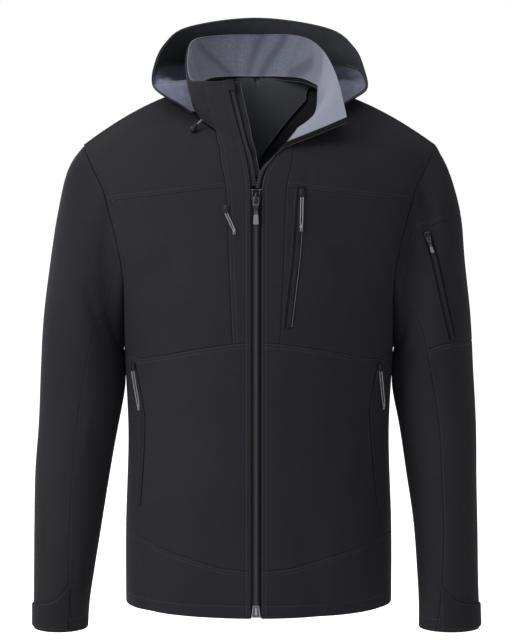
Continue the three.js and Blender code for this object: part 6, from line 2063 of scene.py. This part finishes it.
class CollarTrims:
    """The zip garage, the storm flap behind the open zip, and the hood's cord lock."""

    GARAGE_FROM, GARAGE_COLUMNS = 0.0135, (-0.0015, 0.004, 0.0095)
    LOCK_LEAN = math.radians(38)

    def make(self, centre: Cloth) -> None:
        """Builds the trims from the right front strip."""
        self.garage(centre)
        self.flap(centre)
        self.lock()

    def garage(self, centre: Cloth) -> None:
        """A small fold of cloth over the zip's top end."""
        edge, inner = centre.points[:, 0], centre.points[:, 8]
        normals = centre.normals[:, 3]
        length = np.cumsum(np.linalg.norm(np.diff(edge, axis=0), axis=-1))
        rows = np.flatnonzero(length > length[-1] - self.GARAGE_FROM)
        inward = unit(edge[rows] - inner[rows])
        reach = np.linspace(self.GARAGE_COLUMNS[0], self.GARAGE_COLUMNS[2], 9)
        lift = (TRIM + 0.0021 - 0.0012 * ((reach - 0.006) / 0.008) ** 2)[None, :, None]
        grid = edge[rows][:, None] + inward[:, None] * reach[None, :, None] + normals[rows][:, None] * lift
        cloth = Cloth(grid, 1, (Rim.CUT,) * 4)
        if (cloth.normals * normals[rows][:, None]).sum() < 0:
            cloth.facing = -1
        obj = cloth.build("cloth_zip_garage", TRIM)
        settle(obj, Finish.TRIM, "zip_garage")
        declare(obj, cloth, "folded", "front_centre_R")

    def flap(self, centre: Cloth) -> None:
        """The storm flap, with its light edge binding stitches."""
        rows = np.flatnonzero(centre.points[:, 0, 2] > ZIP_TOP + 0.016)[:-4]
        edge, inner = centre.points[rows, 0], centre.points[rows, 8]
        normals = centre.normals[rows, 3]
        inward = unit(edge - inner)
        share = np.linspace(0, 1, len(rows))
        outer = 0.0145 + 0.004 * share + 0.0002 * np.sin(share * 17)
        steps = np.linspace(0, 1, 11)
        reach = -0.007 + (outer[:, None] + 0.007) * steps[None, :]
        wave = 0.0003 * np.sin(share * 23)[:, None] * steps[None, :] ** 2
        grid = edge[:, None] + inward[:, None] * reach[..., None] - normals[:, None] * (
            WALL + LAYER * 2 - wave)[..., None]
        cloth = Cloth(grid, 1, (Rim.CUT,) * 4)
        if (cloth.normals * normals[:, None]).sum() < 0:
            cloth.facing = -1
        obj = cloth.build("cloth_storm_flap", TRIM)
        settle(obj, Finish.TRIM, "storm_flap")
        declare(obj, cloth, "hung", "front_centre_R")
        binding = Stitching("stitching_flap", Finish.BINDING)
        binding.LENGTH, binding.HALF_WIDTH = 0.0019, 0.0002
        binding.row(cloth.points[:, -1] + cloth.normals[:, -1] * 0.0001, cloth.normals[:, -2])
        binding.build()

    def lock(self) -> None:
        """The teardrop cord lock at the hood's front corner."""
        low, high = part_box("hood_cord_lock_R")
        size, centre = high - low, (low + high) / 2
        Hand.clear()
        bpy.ops.mesh.primitive_uv_sphere_add(segments=24, ring_count=14, radius=0.5, location=(0, 0, 0))
        ball = bpy.context.object
        ball.scale = (size.x * 0.94, size.y * 0.94, size.z * 0.96)
        Hand.apply_place(ball)
        for vertex in ball.data.vertices:
            share = vertex.co.z / size.z + 0.5
            taper = 1 - 0.45 * max(0.0, share - 0.45) / 0.55
            vertex.co.x *= taper
            vertex.co.y *= taper
        Hand.edit(ball, lambda c, n: n.z < -0.92)
        bpy.ops.mesh.inset(thickness=0.0006, depth=0.0003)
        Hand.done()
        cap = Hand.cube("cap", (0.0034, 0.0034, 0.0026), (0, 0, size.z * 0.5 - 0.0014))
        Hand.bevel(cap, 0.0008, 3)
        lock = Hand.joined("cord_lock", [ball, cap])
        turn = Matrix.Rotation(self.LOCK_LEAN, 4, "Y") @ Matrix.Scale(1.2, 4)
        Hand.placed(lock, Matrix.Translation(centre) @ turn)
        settle(lock, Finish.LOCK, "hood_cord_lock_R")
        stub = Hand.cube("cord_stub", (0.0017, 0.0017, 0.0075), (0, 0, size.z * 0.58 + 0.003))
        Hand.edit(stub, lambda c, n: n.z > 0.9)
        bpy.ops.transform.translate(value=(0.0012, 0.0010, 0))
        Hand.done()
        Hand.bevel(stub, 0.0006, 3)
        Hand.placed(stub, Matrix.Translation(centre) @ turn)
        settle(stub, Finish.CORD)


class Studio:
    """The pale floor, the soft lights and the camera at the photo's angle."""

    DISTANCE = 3.0
    ELEVATION = math.radians(3.5)
    TARGET = Vector((0, 0, -0.283))
    LENS = 120.5
    FLOOR = -0.80

    def camera(self) -> None:
        """The camera in front, a little above the jacket's middle."""
        data = bpy.data.cameras.new("camera")
        data.lens = self.LENS
        camera = linked("camera", data)
        back = Vector((0, -math.cos(self.ELEVATION), math.sin(self.ELEVATION)))
        camera.location = self.TARGET + back * self.DISTANCE
        camera.rotation_euler = (math.pi / 2 - self.ELEVATION, 0, 0)
        bpy.context.scene.camera = camera

    def light(self, name: str, place: tuple[float, float, float], size: float, power: float) -> None:
        """A square soft light that looks at the chest."""
        data = bpy.data.lights.new(name, "AREA")
        data.size = size
        data.energy = power
        lamp = linked(name, data)
        lamp.location = place
        lamp.rotation_euler = (Vector((0, 0, -0.3)) - Vector(place)).to_track_quat("-Z", "Y").to_euler()

    def world(self) -> None:
        """Even white surroundings that light the jacket less than they show."""
        world = bpy.data.worlds.new("studio")
        world.use_nodes = True
        bpy.context.scene.world = world
        nodes = Nodes(world.node_tree)
        seen = nodes.add("ShaderNodeLightPath").outputs["Is Camera Ray"]
        dim = nodes.add("ShaderNodeBackground", {"Color": (0.93, 0.95, 1.0, 1), "Strength": 0.33})
        bright = nodes.add("ShaderNodeBackground", {"Color": (1, 1, 1, 1), "Strength": 1.0})
        both = nodes.add("ShaderNodeMixShader", {0: seen, 1: dim.outputs[0], 2: bright.outputs[0]})
        out = nodes.add("ShaderNodeOutputWorld")
        nodes.tree.links.new(both.outputs[0], out.inputs[0])

    def floor(self) -> None:
        """A plain pale floor."""
        Hand.clear()
        bpy.ops.mesh.primitive_grid_add(x_subdivisions=8, y_subdivisions=8, size=60, location=(0, 0, self.FLOOR))
        floor = bpy.context.object
        floor.name = "floor"

        def nodes_of(nodes: Nodes) -> dict[str, object]:
            """A faint mottle, and a glow that lifts the floor to the surroundings' white."""
            place = nodes.add("ShaderNodeTexCoord").outputs["Object"]
            noise = nodes.add("ShaderNodeTexNoise", {"Vector": place, "Scale": 3.0}).outputs[0]
            seen = nodes.add("ShaderNodeLightPath").outputs["Is Camera Ray"]
            glow = nodes.add("ShaderNodeMapRange", {"Value": seen, "To Min": 0.12, "To Max": 0.85}).outputs[0]
            return {"Base Color": nodes.mix(noise, (0.92, 0.92, 0.92, 1), (0.95, 0.95, 0.95, 1)),
                    "Emission Color": (1, 1, 1, 1), "Emission Strength": glow}

        floor.data.materials.append(shaded("floor", nodes_of, Roughness=0.9, Specular_IOR_Level=0.1))

    def make(self) -> None:
        """Builds the studio."""
        bpy.context.scene.view_settings.view_transform = "Standard"
        self.camera()
        self.world()
        self.light("key", (-2.4, -1.8, 1.6), 1.5, 104.0)
        self.light("fill", (2.0, -2.4, 0.4), 2.2, 6.0)
        self.light("top", (0.1, -0.7, 2.3), 1.6, 20.0)
        self.light("back_left", (-1.8, 2.2, 1.0), 1.8, 18.0)
        self.floor()


def main() -> None:
    """Builds the studio, then the jacket's sub-assemblies in order."""
    logging.basicConfig(level=logging.INFO, format="%(name)s %(message)s")
    Studio().make()
    sleeves = Sleeves()
    zips = Zips(sleeves)
    trims = Stitching("stitching_zips")
    zips.make_panel_zips(trims)
    fronts = Fronts()
    for side in "RL":
        stitching = Stitching(f"stitching_front_{side}")
        for panel in fronts.panels(side):
            panel.make(stitching)
        stitching.build()
    collar = Collar(fronts)
    stitching = Stitching("stitching_collar")
    centres = collar.make(stitching)
    stitching.build()
    stitching = Stitching("stitching_hood")
    Hood(collar).make(stitching)
    stitching.build()
    stitching = Stitching("stitching_back")
    Back().make(stitching)
    stitching.build()
    for side in "RL":
        stitching = Stitching(f"stitching_sleeve_{side}")
        sleeves.make(side, stitching)
        stitching.build()
    zips.make_main(centres)
    zips.make_sleeve(trims)
    trims.build()
    CollarTrims().make(centres["R"])


if __name__ == "__main__":
    main()
